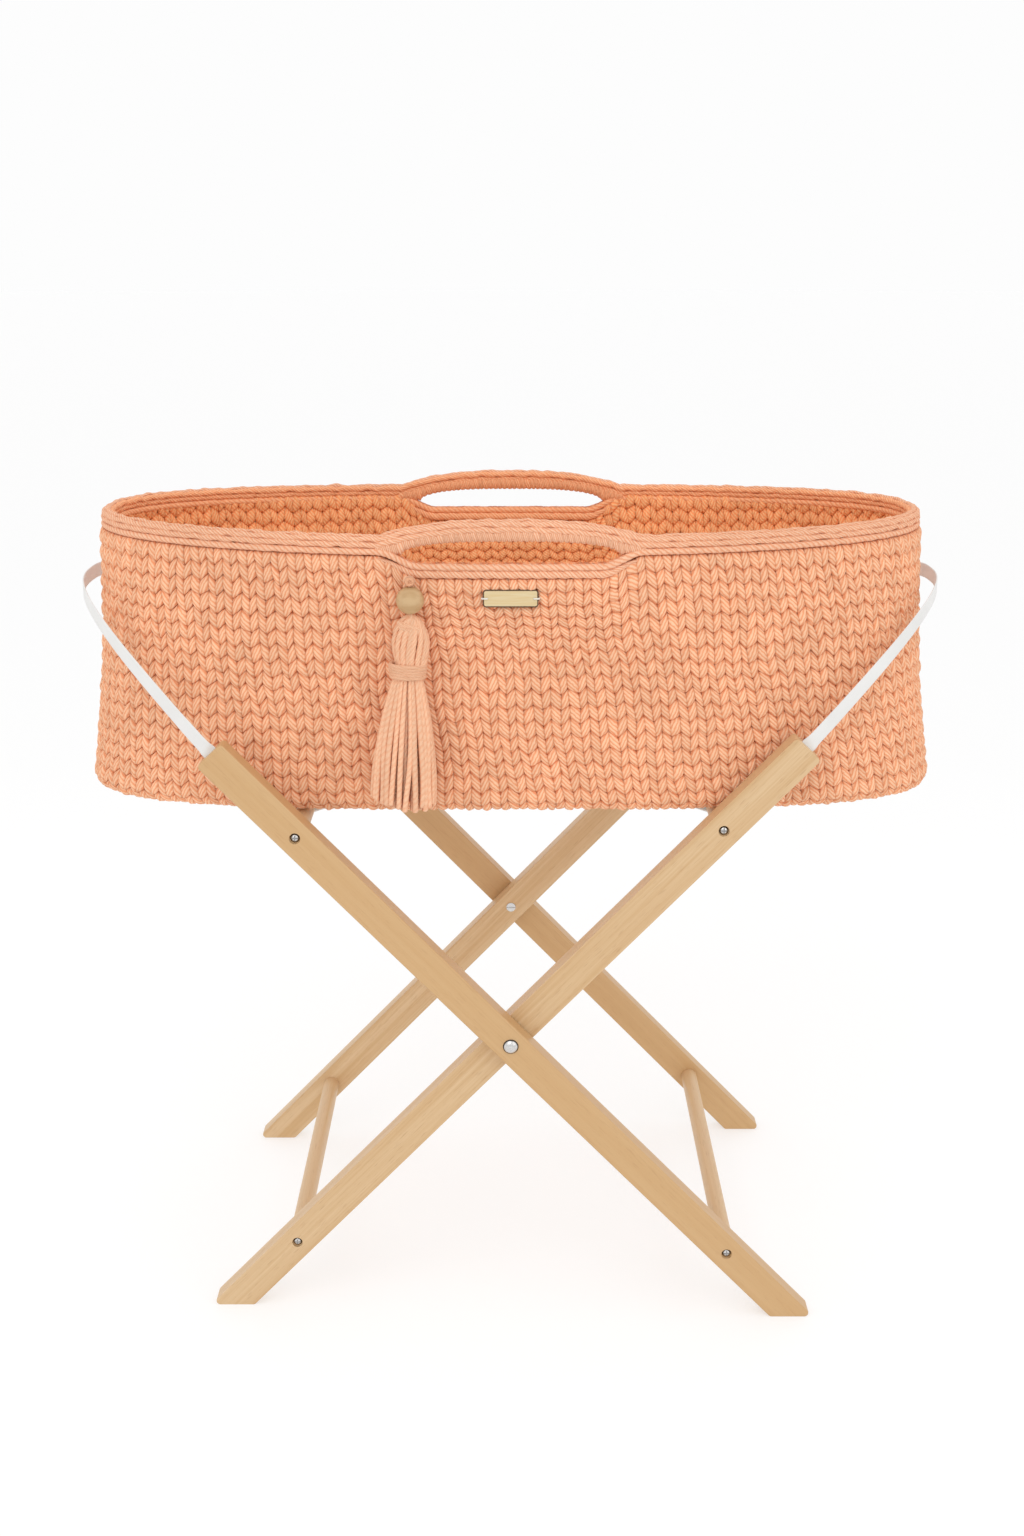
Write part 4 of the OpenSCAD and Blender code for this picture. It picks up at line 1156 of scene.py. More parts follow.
class BASKET_OT_rim(bpy.types.Operator):
    """Lay the cords of the rim, with its handles and the lips of the hand holes"""

    bl_idname = "basket.rim"
    bl_label = "Corded rim"
    bl_options = {"REGISTER", "UNDO"}

    def execute(self, context):
        scene = context.scene
        shape = scene.basket_shape
        oval = Oval(shape)
        outside = yarn(scene, "rim")
        # The inner cords and lips take a brighter, redder copy of the rim's cord: painted bounce light
        # inside the basket
        inside = yarn(scene, "rim_inside")
        pieces = [self.top_cord("rim_cord_top", oval, TOP_CORD, outside)]
        for name, way, material in (("outside", 1, outside), ("inside", -1, inside)):
            low, high = SIDE_CORDS[name]
            pieces.append(self.low_rope(f"rim_rope_{name}", oval, way, material))
            pieces.append(self.top_cord(f"rim_cord_low_{name}", oval, low, material))
            pieces.append(self.top_cord(f"rim_cord_high_{name}", oval, high, material))
        for name, side in (("front", -1), ("back", 1)):
            pieces.append(self.sleeve(name, oval, side, outside, inside))
            pieces.append(self.lip(f"lip_{name}_outside", oval, side, 0, outside))
            pieces.append(self.lip(f"lip_{name}_inside", oval, side, shape.wall, inside))
        for piece in pieces:
            settle(piece, "basket", "rim_yarn", "knit_rim")
        return {"FINISHED"}

    def facing(self, points, way, tilt):
        """Direction that a cord of the rim turns to the light, tilted up from outwards or from inwards; its
        other side is painted in shade.
        """
        side = path_frames(points, UP, closed=True)[0]
        if side[0, 1] * points[0, 1] < 0:
            side = -side
        lean = math.radians(tilt)
        return math.cos(lean) * way * side + math.sin(lean) * np.array(UP)

    def uneven(self, draw, count):
        """Smooth noise round the rim, mostly between -1 and 1, that closes on itself."""
        waves = 14
        fewest = 25
        most = 140
        cycles = draw.integers(fewest, most, waves)
        shifts = 2 * np.pi * draw.random(waves)
        around = 2 * np.pi * np.arange(count) / count
        return np.sin(np.outer(around, cycles) + shifts).sum(axis=1) / math.sqrt(waves)

    def top_cord(self, name, oval, cord, material):
        """A soft cord along the rim that rises over the handles."""
        count = 1500
        bob = 0.0004
        swell = 0.07
        seed = int(1e5 * (cord.lift + abs(cord.out))) + (cord.out < 0)
        draw = np.random.default_rng(seed)
        turn = oval.turn_at(np.arange(count) / count)
        rise = oval.shape.handle_rise
        points = oval.rim_line(turn, cord.out,
                               lambda x: oval.rim_foot + cord.lift + rise * oval.handle_share(x))
        points[:, 2] += bob * self.uneven(draw, count)
        fat = cord.radius * (1 + swell * self.uneven(draw, count))
        # Painted shade on the side turned from the light, deeper in some places than others
        away = self.facing(points, math.copysign(1, cord.out), cord.tilt)
        shade_floor = np.clip(0.62 + 0.45 * self.uneven(draw, count), 0.2, 1)
        skin = cord_skin(points, fat, turns=14, plies=3, pitch=0.0085, depth=0.13, reference=UP,
                         closed=True, soft=0.26, outward=away, facing_low=0.3, facing_high=0.85,
                         shade_floor=shade_floor, lines=2)
        return skin_piece(name, skin, material)

    def low_rope(self, name, oval, way, material):
        """A twisted rope on the wall's top edge, which follows the lips of the hand holes."""
        count = 2000
        radius = 0.0034
        seat = 0.95 * radius
        out = 0.0038
        tucked = 0.0020
        swell = 0.05
        tilt = 5
        seed = 51
        turn = oval.turn_at(np.arange(count) / count)
        draw = np.random.default_rng(seed + way)
        if way < 0:
            x = oval.at(oval.shape.top_half_length, oval.shape.top_half_width, turn)[0]
            out = tucked + (out - tucked) * oval.lip_share(x)
        points = oval.rim_line(turn, way * out, lambda x: oval.lip_z(x) + seat)
        fat = radius * (1 + swell * self.uneven(draw, count))
        # Painted shade on the side turned from the light, deeper in some places than others
        away = self.facing(points, way, tilt)
        shade_floor = np.clip(0.4 + 0.35 * self.uneven(draw, count), 0.15, 0.9)
        skin = cord_skin(points, fat, turns=14, plies=4, pitch=0.0056, depth=0.16, reference=UP,
                         closed=True, soft=0.22, outward=away, facing_low=0.15, facing_high=0.75,
                         shade_floor=shade_floor, lines=1)
        return skin_piece(name, skin, material)

    def sleeve(self, name, oval, side, outside, inside):
        """Short loops of cord wound round a handle, under its braid."""
        shape = oval.shape
        wraps = 48
        per_wrap = 7
        turns = 20
        past_end = 0.004
        under_braid = 0.006
        hole_cover = 0.0015
        half_width = 0.0064
        sway_spread = 0.12
        slant = 0.35
        crease = 0.35
        lines = 3
        reach = shape.handle / 2 + past_end
        rings = wraps * per_wrap + 1
        x = np.linspace(-reach, reach, rings)
        line = np.linspace(0, 2 * np.pi, 4001)
        half_wall = shape.wall / 2
        plan_x, plan_y = oval.at(shape.top_half_length - half_wall, shape.top_half_width - half_wall, line)
        half = plan_y * side > 0
        order = np.argsort(plan_x[half])
        y = np.interp(x, plan_x[half][order], plan_y[half][order])
        high = oval.rim_foot + shape.rim_height + shape.handle_rise * oval.handle_share(x) - under_braid
        low = oval.rim_foot + (shape.hole_lift - hole_cover) * oval.hole_share(x)
        middle = np.stack([x, y, (low + high) / 2], axis=1)
        half_height = (high - low) / 2
        draw = np.random.default_rng(12 if side < 0 else 13)
        across = np.arange(rings) / per_wrap
        angle = 2 * np.pi * np.arange(turns + 1) / turns
        sway = np.interp(across, np.arange(wraps + 1), draw.normal(0, sway_spread, wraps + 1))
        phase = across[:, None] + sway[:, None] + slant * np.sin(angle)[None, :]
        relief, back = lay_relief(phase, depth=0.2, sharpness=0.5)
        relief[[0, -1]] = 0
        offset = relief[:, :-1, None] * (
            half_width * np.cos(angle[:-1])[None, :, None] * np.array([0, 1, 0])
            + half_height[:, None, None] * np.sin(angle[:-1])[None, :, None] * np.array(UP))
        quads, corner_r, corner_c = grid_quads(rings, turns)
        strand = np.stack([lines * phase[corner_r, corner_c], corner_c / turns], axis=2)
        # Painted shade: the rise is lower in the creases between wraps
        rise = crease + (1 - crease) * back[:, :-1]
        skin = Skin((middle[:, None, :] + offset).reshape(-1, 3), quads, strand, rise.ravel(),
                    np.full(len(quads), MID_TONE))
        sleeve = skin_piece(f"handle_wraps_{name}", facing_out(skin), outside)
        # Faces turned into the basket take the inside cord: painted bounce light
        paint_faces(sleeve, side * np.cos(angle)[corner_c[:, 0]] < -0.1, inside)
        weld_points(sleeve.data)
        return sleeve

    def lip(self, name, oval, side, depth, material):
        """A second twisted cord on a face of the wall, below the lip of a hand hole."""
        shape = oval.shape
        radius = 0.0042
        below = 0.75 * radius
        bedded = 0.55 * radius
        thin_end = 0.3
        reach = shape.lip_reach
        x = np.linspace(-reach, reach, 170)
        z = oval.lip_z(x) - below
        up = oval.share_up(z)
        sunk = bedded if depth == 0 else depth - bedded
        a = oval.half_length(up) - sunk
        b = oval.half_width(up) - sunk
        power = oval.power(up)
        y = side * b * (1 - (np.abs(x) / a) ** power) ** (1 / power)
        taper = radius * (thin_end + (1 - thin_end) * smooth_step((reach - np.abs(x)) / shape.lip_turn))
        # Painted shade on the side of the lip cord turned to the wall
        facing = (0, side if depth == 0 else -side, 0)
        skin = cord_skin(np.stack([x, y, z], axis=1), taper, turns=14, plies=2, pitch=0.0115, depth=0.2,
                         reference=UP, outward=facing)
        return skin_piece(name, skin, material, weld=True)


class BASKET_OT_base(bpy.types.Operator):
    """Stitch the base in oval rows, from the wall to its middle line"""

    bl_idname = "basket.base"
    bl_label = "Stitched base"
    bl_options = {"REGISTER", "UNDO"}

    def execute(self, context):
        scene = context.scene
        look = scene.yarn_look
        oval = Oval(scene.basket_shape)
        rows = 11
        flat_rows = 3
        flat_rise = 0.6
        stitched_bake = (0.0, 0.9)
        flat_bake = (0.91, 0.98)
        stitching = Stitching(look.stitches, rows, look, seed=21)
        stitching.v[:, -1] = rows
        width = stitching.lobes * len(ACROSS)

        def underside(around, climb, rise):
            return self.level(oval, around, climb, BASE_LOW.z - PROUD - rise)

        outer = stitched_skin(stitching, look, 0, rows, underside, stitched_bake)
        around = np.arange(width) / width
        shares = np.arange(flat_rows) / (flat_rows - 1)
        rings = [self.level(oval, around, np.full(width, climb), BASE_HIGH.z) for climb in shares]
        quads, corner_r, corner_c = grid_quads(flat_rows, width)
        blank = np.zeros((len(quads), 4, 2))
        bake_v = flat_bake[0] + (flat_bake[1] - flat_bake[0]) * corner_r / (flat_rows - 1)
        bake = np.stack([corner_c / width, bake_v], axis=2)
        top = Skin(np.concatenate(rings), quads, blank, np.full(flat_rows * width, flat_rise),
                   np.full(len(quads), MID_TONE), bake)
        shell = facing_out(closed_band(outer, top, width))
        settle(skin_piece("base_rows", shell, yarn(scene, "stitched")), "basket", "yarn", "knit_base")
        return {"FINISHED"}

    def level(self, oval, around, climb, z):
        """Point of an oval that shrinks to a line along the middle of the base."""
        least = 0.0005
        inset = np.clip(climb, 0, 1) * (BASE_HIGH.y - least)
        up = oval.share_up(BASE_HIGH.z)
        x, y = oval.at(BASE_HIGH.x - inset, BASE_HIGH.y - inset, oval.turn_at(around, up), up)
        return np.stack([x, y, np.broadcast_to(z, x.shape)], axis=-1)


# Heights of the mattress's upper seam and of its lower piping
SEAM_TOP = 0.0285
LOW_PIPING = 0.0015
# Section of the mattress's side: inset and height
PAD_SIDE = (
    (0.05, 0.0), (0.016, 0.0), (0.007, 0.0008), (0.0045, 0.0025), (0.005, 0.006), (0.0062, 0.010),
    (0.0068, 0.015), (0.0062, 0.020), (0.005, 0.024), (0.0045, 0.0275), (0.006, 0.0292), (0.010, 0.0306),
)


class BASKET_OT_inside(bpy.types.Operator):
    """Lay the mattress in the basket and finish the board below it"""

    bl_idname = "basket.inside"
    bl_label = "Board and mattress"
    bl_options = {"REGISTER", "UNDO"}

    def execute(self, context):
        scene = context.scene
        finish_node("base_board", finish("fibre_board", fibre_board))
        oval = Oval(scene.basket_shape)
        cover = finish("jersey_cover", jersey_cover, scene.stand_look)
        pad = self.pad(oval, cover)
        self.fill(scene, pad)
        settle(pad, "basket", "mattress_cover", "mattress")
        for name, height in (("mattress_piping_top", SEAM_TOP), ("mattress_piping_low", LOW_PIPING)):
            piping = self.piping(name, oval, PAD_LOW.z + height, cover)
            settle(piping, "basket", "mattress_cover", "mattress")
        return {"FINISHED"}

    def piping(self, name, oval, z, cover):
        """A thin cord sewn round the pad along a seam."""
        count = 420
        inset = 0.004
        radius = 0.0022
        up = oval.share_up(PAD_HIGH.z)
        turn = oval.turn_at(np.arange(count) / count, up)
        x, y = oval.at(PAD_HIGH.x - inset, PAD_HIGH.y - inset, turn, up)
        points = np.stack([x, y, np.full_like(x, z)], axis=1)
        skin = cord_skin(points, radius, turns=10, plies=2, pitch=0.009, depth=0.04, reference=UP,
                         closed=True)
        return skin_piece(name, skin, cover)

    def pad(self, oval, cover):
        """A crowned pad whose sides draw in between two seams."""
        columns = 160
        low_seam = 0.004
        uneven = 0.0009
        innermost = 0.97
        top_rings = 16
        shoulder = PAD_SIDE[-1][1]
        crown = PAD_HIGH.z - PAD_LOW.z - shoulder - MM
        half = PAD_HIGH.y
        section = [(innermost * half, 0.0), *PAD_SIDE]
        for s in np.linspace(0.1, innermost, top_rings):
            section.append((s * half, shoulder + crown * math.sin(min(1, s * 1.5) * math.pi / 2)))
        up = oval.share_up(PAD_HIGH.z)
        turn = oval.turn_at(np.arange(columns) / columns, up)
        draw = np.random.default_rng(31)
        around = 2 * np.pi * np.arange(columns) / columns
        soft = sum(draw.normal(0, 1) * np.sin(waves * around + draw.random() * 6)
                   for waves in range(2, 11)) / 6
        rings = []
        for inset, height in section:
            x, y = oval.at(PAD_HIGH.x - inset, half - inset, turn, up)
            share_here = 1 if SEAM_TOP > height > low_seam else 0.6 if height > SEAM_TOP else 0
            dimple = uneven * soft * share_here
            rings.append(np.stack([x, y, PAD_LOW.z + height + dimple], axis=1))
        quads, corner_r, corner_c = grid_quads(len(rings), columns)
        strand = np.stack([corner_c / columns, corner_r / len(rings)], axis=2)
        caps = np.concatenate([closing_fan(len(rings) - 1, columns), closing_fan(0, columns)[:, ::-1]])
        strand = np.concatenate([strand, np.zeros((len(caps), 4, 2))])
        skin = plain_skin(np.concatenate(rings), np.concatenate([quads, caps]), strand)
        return skin_piece("mattress_pad", skin, cover)

    def fill(self, scene, pad):
        """Blow the cover up from inside with a short cloth run. Its underside and upper seam stay put."""
        frames = 20
        most = 0.004
        seam_half = 0.0035
        underside = 0.004
        bpy.context.view_layer.objects.active = pad
        pad.data.remesh_voxel_size = 0.006
        bpy.ops.object.voxel_remesh()
        count = len(pad.data.vertices)
        before = np.empty(count * 3)
        pad.data.vertices.foreach_get("co", before)
        before = before.reshape(-1, 3)
        height = before[:, 2] - PAD_LOW.z
        held = (height < underside) | (np.abs(height - SEAM_TOP) < seam_half)
        pinned = pad.vertex_groups.new(name="pinned")
        pinned.add([int(i) for i in np.flatnonzero(held)], 1.0, "REPLACE")
        cloth = pad.modifiers.new("cover", "CLOTH")
        cloth.settings.quality = 5
        cloth.settings.use_pressure = True
        cloth.settings.uniform_pressure_force = 4
        cloth.settings.shrink_min = -0.03
        cloth.settings.vertex_group_mass = "pinned"
        cloth.settings.effector_weights.gravity = 0
        cloth.point_cache.frame_start = 1
        cloth.point_cache.frame_end = frames
        first = scene.frame_current
        for number in range(1, frames + 1):
            scene.frame_set(number)
        filled = pad.evaluated_get(bpy.context.evaluated_depsgraph_get())
        after = np.empty(count * 3)
        filled.data.vertices.foreach_get("co", after)
        moved = after.reshape(-1, 3) - before
        size = np.linalg.norm(moved, axis=1, keepdims=True)
        moved *= np.minimum(1, most / np.maximum(size, 1e-9))
        place = before + moved
        place[:, 2] = np.minimum(place[:, 2], PAD_HIGH.z + most)
        pad.modifiers.remove(cloth)
        pad.vertex_groups.remove(pinned)
        scene.frame_set(first)
        pad.data.vertices.foreach_set("co", place.ravel())
        pad.data.update()
        pad.data.shade_smooth()
        pad.modifiers.new("smoother", "SUBSURF").levels = 1


def closing_fan(ring, columns):
    """Quads across an even ring, from one side to the other."""
    start = ring * columns
    k = np.arange(columns // 2 - 1)
    return np.stack([start + k, start + k + 1, start + columns - 2 - k, start + (columns - 1 - k)], axis=1)


def finish_node(node, material):
    """Give a solid that stays its finish."""
    obj = frame["nodes"][node]
    obj.data.materials.clear()
    obj.data.materials.append(material)
    return obj


class BASKET_OT_plate(bpy.types.Operator):
    """Finish the bare name plate and its thread"""

    bl_idname = "basket.plate"
    bl_label = "Name plate"
    bl_options = {"REGISTER", "UNDO"}

    def execute(self, context):
        look = context.scene.stand_look
        finish_node("name_plate", finish("plate_wood", self.plate_wood, look))
        thread = self.thread(finish("plate_thread", cotton_thread))
        settle(thread, "basket", "thread", "plate_stitches")
        return {"FINISHED"}

    def plate_wood(self, name, look):
        """Pale wood with a dark line where the plate was cut."""
        shader = Shader(name, Roughness=0.55)
        shader.set(Specular_IOR_Level=0.3)
        place = shader.place()
        line = (0.0005, 0.0011)
        corner = 0.003
        parts = shader.add("ShaderNodeSeparateXYZ", {0: place})
        half_w = PLATE_HIGH.x
        half_h = (PLATE_HIGH.z - PLATE_LOW.z) / 2
        middle = (PLATE_HIGH.z + PLATE_LOW.z) / 2
        out_x = shader.math("SUBTRACT", shader.math("ABSOLUTE", parts.outputs[0]), half_w - corner)
        rise = shader.math("SUBTRACT", parts.outputs[2], middle)
        out_z = shader.math("SUBTRACT", shader.math("ABSOLUTE", rise), half_h - corner)
        dx = shader.math("MAXIMUM", out_x, 0.0)
        dz = shader.math("MAXIMUM", out_z, 0.0)
        corner_reach = shader.math("SQRT", shader.weighted((dx, dx), (dz, dz)))
        straight = shader.math("MINIMUM", shader.math("MAXIMUM", out_x, out_z), 0.0)
        from_edge = shader.math("SUBTRACT", corner, shader.math("ADD", corner_reach, straight))
        wobble = shader.math("MULTIPLY", shader.noise(place, scale=500), 0.0005)
        dark = shader.range(shader.math("SUBTRACT", from_edge, wobble), *line, 1.0, 0.0)
        grain = shader.noise(shader.stretched(place, (30, 500, 500)), detail=3, roughness=0.6)
        light = tuple(look.plate_wood)
        warm = scaled(light, (0.95, 0.88, 0.76))
        base = shader.ramp(grain, [(0.35, warm), (0.62, light)])
        shader.set(Base_Color=shader.mix(dark, base, tuple(look.plate_edge)))
        shader.bump(grain, strength=0.12, distance=0.0003)
        return shader.material

    def thread(self, material):
        """A short stitch over each end of the plate."""
        from_end = 0.004
        low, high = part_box("plate_stitches")
        radius = (high.z - low.z) / 2
        z = (low.z + high.z) / 2
        front = low.y + radius
        back = high.y
        skins = []
        for side in (-1, 1):
            outer = side * (high.x - radius)
            inner = side * (PLATE_HIGH.x - from_end)
            route = [(inner, back, z), (inner, front + radius, z), (inner + side * radius, front, z),
                     (outer - side * radius, front, z), (outer, front + radius, z), (outer, back, z)]
            skins.append(cord_skin(even_path(route, 40), radius, turns=10, plies=2, pitch=0.0022, depth=0.2,
                                   reference=UP))
        return skin_piece("plate_thread", joined(skins), material, weld=True)


class BASKET_OT_tassel(bpy.types.Operator):
    """Hang the tassel: its knot, bead, head, binding and skirt of cords"""

    bl_idname = "basket.tassel"
    bl_label = "Tassel"
    bl_options = {"REGISTER", "UNDO"}

    def execute(self, context):
        scene = context.scene
        middle = box_middle("tassel_bead")
        self.x = middle.x
        self.y = middle.y
        wood = finish("bead_wood", turned_wood, tuple(scene.stand_look.bead_wood))
        cord = yarn(scene, "tassel")
        settle(self.bead(wood), "tassel", "bead_wood", "tassel_bead")
        settle(self.knot(yarn(scene, "stitched")), "basket", "yarn", "tassel_knot")
        settle(self.eye(cord), "tassel", "tassel_yarn", "tassel_cord")
        settle(self.head(cord), "tassel", "tassel_yarn", "tassel_head")
        settle(self.binding(cord), "tassel", "tassel_yarn", "tassel_binding")
        settle(self.skirt(cord), "tassel", "tassel_yarn", "tassel_skirt")
        return {"FINISHED"}

    def bead(self, material):
        """A turned ball with a drilled hole and softened rims."""
        radius = (BEAD_HIGH.x - BEAD_LOW.x) / 2
        z = (BEAD_HIGH.z + BEAD_LOW.z) / 2
        hole = 0.0019
        soft = 0.0005
        turns = 48
        start = math.asin((hole + soft) / radius)
        mouth = radius * math.cos(start)
        rim = [(hole, mouth - 2 * soft), (hole + 0.3 * soft, mouth - 0.4 * soft)]
        falls = np.linspace(start, math.pi - start, 29)
        ball = [(radius * math.sin(t), radius * math.cos(t)) for t in falls]
        profile = rim + ball + [(r, -h) for r, h in reversed(rim)]
        angle = 2 * np.pi * np.arange(turns) / turns
        rings = [np.stack([self.x + r * np.cos(angle), self.y + r * np.sin(angle), np.full(turns, z + h)],
                          axis=1) for r, h in profile]
        quads, corner_r, corner_c = grid_quads(len(rings), turns, wrap_rows=True)
        strand = np.stack([corner_c / turns, corner_r / len(rings)], axis=2)
        return skin_piece("tassel_bead_turned", plain_skin(np.concatenate(rings), quads, strand), material)

    def knot(self, material):
        """Stub of cord out of the wall, with an overhand knot at its end."""
        stub_r = 0.0024
        stub_end = KNOT_LOW.y + 0.002
        wound_r = 0.0016
        wound_turns = 1.6
        knot_r = 0.0026
        knot_y = KNOT_LOW.y + 0.0012
        wander = 0.0006
        z = (KNOT_LOW.z + KNOT_HIGH.z) / 2
        stub = even_path([(self.x, KNOT_HIGH.y, z), (self.x, stub_end, z)], 14)
        t = np.linspace(0, 2 * np.pi * wound_turns, 40)
        ring = np.stack([self.x + knot_r * np.cos(t), knot_y + wander * np.sin(1.3 * t),
                         z + knot_r * np.sin(t)], axis=1)
        skins = [cord_skin(stub, stub_r, turns=10, plies=2, pitch=0.006, reference=UP),
                 cord_skin(ring, wound_r, turns=8, plies=2, pitch=0.005)]
        return skin_piece("tassel_knot_tied", joined(skins), material, weld=True)

    def eye(self, material):
        """Loop of cord round the knot, and the cord down through the bead."""
        loop_r = 0.0038
        loop_cord_r = 0.0012
        cord_r = 0.0017
        cord_top = 0.0036
        in_head = 0.004
        z = (KNOT_LOW.z + KNOT_HIGH.z) / 2
        t = np.linspace(-0.5 * np.pi, 1.5 * np.pi, 40)
        ring = np.stack([self.x + loop_r * np.cos(t), np.full(len(t), self.y), z + loop_r * np.sin(t)],
                        axis=1)
        heights = (z - cord_top, BEAD_LOW.z, HEAD_HIGH.z - in_head)
        down = even_path([(self.x, self.y, height) for height in heights], 24)
        skins = [cord_skin(ring, loop_cord_r, turns=8, plies=2, pitch=0.005),
                 cord_skin(down, cord_r, turns=8, plies=2, pitch=0.005)]
        return skin_piece("tassel_loop", joined(skins), material, weld=True)

    def head_half(self, down):
        """Half width of the head at a share of the way down, from under the bead to the binding."""
        belly = (HEAD_HIGH.x - HEAD_LOW.x) / 2
        belly_at = 0.5
        neck = 0.0138
        top = 0.42
        rising = top + (1 - top) * np.sin(np.pi / 2 * np.minimum(down / belly_at, 1))
        falling = (1 + np.cos(np.pi * np.clip((down - belly_at) / (1 - belly_at), 0, 1))) / 2
        return np.where(down < belly_at, belly * rising, neck + (belly - neck) * falling)

    def head(self, material):
        """Plump cords that fold over the top and run down into the binding."""
        draw = np.random.default_rng(41)
        depth = (HEAD_HIGH.y - HEAD_LOW.y) / (HEAD_HIGH.x - HEAD_LOW.x)
        cords = 17
        cord_r = 0.0031
        swirl = 0.55
        lift = 0.0012
        core_r = 0.0062
        core_top = HEAD_HIGH.z - 0.004
        top = HEAD_HIGH.z
        bottom = (BINDING_LOW.z + BINDING_HIGH.z) / 2
        down = np.linspace(0, 1, 22)
        skins = []
        for k in range(cords):
            angle = 2 * np.pi * (k + draw.normal(0, 0.06)) / cords
            radius = cord_r * (1 + draw.normal(0, 0.05))
            twist = swirl * (1 - down) ** 1.5 + draw.normal(0, 0.05)
            reach = self.head_half(down) - 0.8 * radius
            reach = reach * smooth_step(0.25 + down * 6)
            x = self.x + reach * np.cos(angle + twist)
            y = self.y + depth * reach * np.sin(angle + twist)
            first = top - radius * 0.6
            z = first - (first - bottom) * down ** 1.05
            z = z + lift * draw.normal() * (1 - down)
            # Painted shade on each cord's side turned into the head
            away = (math.cos(angle), math.sin(angle), 0)
            skins.append(cord_skin(np.stack([x, y, z], axis=1), radius, turns=12, plies=3, pitch=0.010,
                                   depth=0.12, tone=draw.random(), soft=0.5, outward=away, lines=2,
                                   start=draw.random()))
        core = np.linspace((self.x, self.y, core_top), (self.x, self.y, bottom), 8)
        skins.append(cord_skin(core, core_r, turns=12, plies=3, pitch=0.02))
        skins += [self.head_band(draw, depth, lower) for lower in (0.15, 1.2)]
        return skin_piece("tassel_head_cords", joined(skins), material, weld=True)

    def head_band(self, draw, depth, lower):
        """Short cord laid slantwise over the front of the head's top. lower moves it down and round."""
        radius = 0.0027
        half_width = 0.0105
        half_depth = 0.0125
        sweep = 2.6
        fall = 0.006
        t = np.linspace(0, 1, 20)
        angle = -math.pi / 2 + (t - 0.5) * sweep + lower * 0.3
        x = self.x + half_width * np.cos(angle)
        y = self.y + depth * half_depth * np.sin(angle)
        z = HEAD_HIGH.z - 0.0065 - fall * t - 0.004 * lower
        return cord_skin(np.stack([x, y, z], axis=1), radius, turns=12, plies=3, pitch=0.014, depth=0.1,
                         tone=draw.random())

    def binding(self, material):
        """One cord wound tightly round the neck."""
        turns_round = 5
        points_round = 40
        radius = 0.0021
        half_width = 0.0152
        half_depth = 0.0090
        left = 0.003
        wander = 0.0006
        high = BINDING_HIGH.z - radius
        low = BINDING_LOW.z + radius
        t = np.linspace(0, turns_round, turns_round * points_round + 1)
        angle = 2 * np.pi * t + math.pi / 2
        a = half_width + wander * np.sin(2.2 * angle)
        z = high - (high - low) * t / turns_round + wander * np.sin(angle)
        route = np.stack([self.x - left + a * np.cos(angle), self.y + half_depth * np.sin(angle), z], axis=1)
        skin = cord_skin(route, radius, turns=12, plies=3, pitch=0.013, depth=0.12, reference=UP)
        return skin_piece("tassel_binding_cord", skin, material, weld=True)

    def skirt(self, material):
        """Loose cords that spread to the hem, cut a little unevenly."""
        draw = np.random.default_rng(43)
        half_w = (SKIRT_HIGH.x - SKIRT_LOW.x) / 2
        half_d = (SKIRT_HIGH.y - SKIRT_LOW.y) / 2
        neck_w = 0.0118
        neck_d = 0.0056
        margin = 0.0024
        thin = 0.0017
        fatter = 0.0011
        left_top = 0.003
        left_hem = 0.006
        uneven_cut = 0.0070
        slant_cut = 0.0060
        most_sway = 0.0010
        twist_pitch = 0.0066
        top = BINDING_LOW.z + 0.004
        hem = SKIRT_LOW.z + 0.0015
        down = np.linspace(0, 1, 70)
        flare = np.sin(np.pi / 2 * down ** 0.9)
        wide = neck_w + (half_w - neck_w - margin) * flare
        deep = neck_d + (half_d - neck_d - margin) * flare
        skins = []
        for spread, cords in ((1.0, 26), (0.6, 12)):
            for k in range(cords):
                angle = 2 * np.pi * (k + draw.normal(0, 0.12)) / cords
                radius = (thin + fatter * np.minimum(1, down / 0.35)) * (1 + draw.normal(0, 0.05))
                sway = most_sway * draw.normal() * np.sin(np.pi * down * (1 + draw.random())) * down
                cut = uneven_cut * draw.random() + slant_cut * max(0, -math.cos(angle)) * spread
                x = self.x + 0.95 * spread * wide * np.cos(angle) + sway - left_top - left_hem * down
                y = self.y + spread * deep * np.sin(angle) + 0.5 * sway
                z = top - (top - hem - cut) * down
                # Painted shade on each cord's side turned into the skirt
                away = (math.cos(angle), math.sin(angle), 0)
                pitch = twist_pitch * (1 + draw.normal(0, 0.08))
                skins.append(cord_skin(np.stack([x, y, z], axis=1), radius, turns=10, plies=2, pitch=pitch,
                                       depth=0.09, lines=1, start=draw.random(), tone=draw.random(),
                                       soft=0.84, outward=away, shade_floor=0.22))
        return skin_piece("tassel_skirt_cords", joined(skins), material, weld=True)


# Half the width of a leg, and the strength of the grain on the outer legs, which show less of it
LEG_HALF = 0.016
OUTER_FIGURE = 0.35


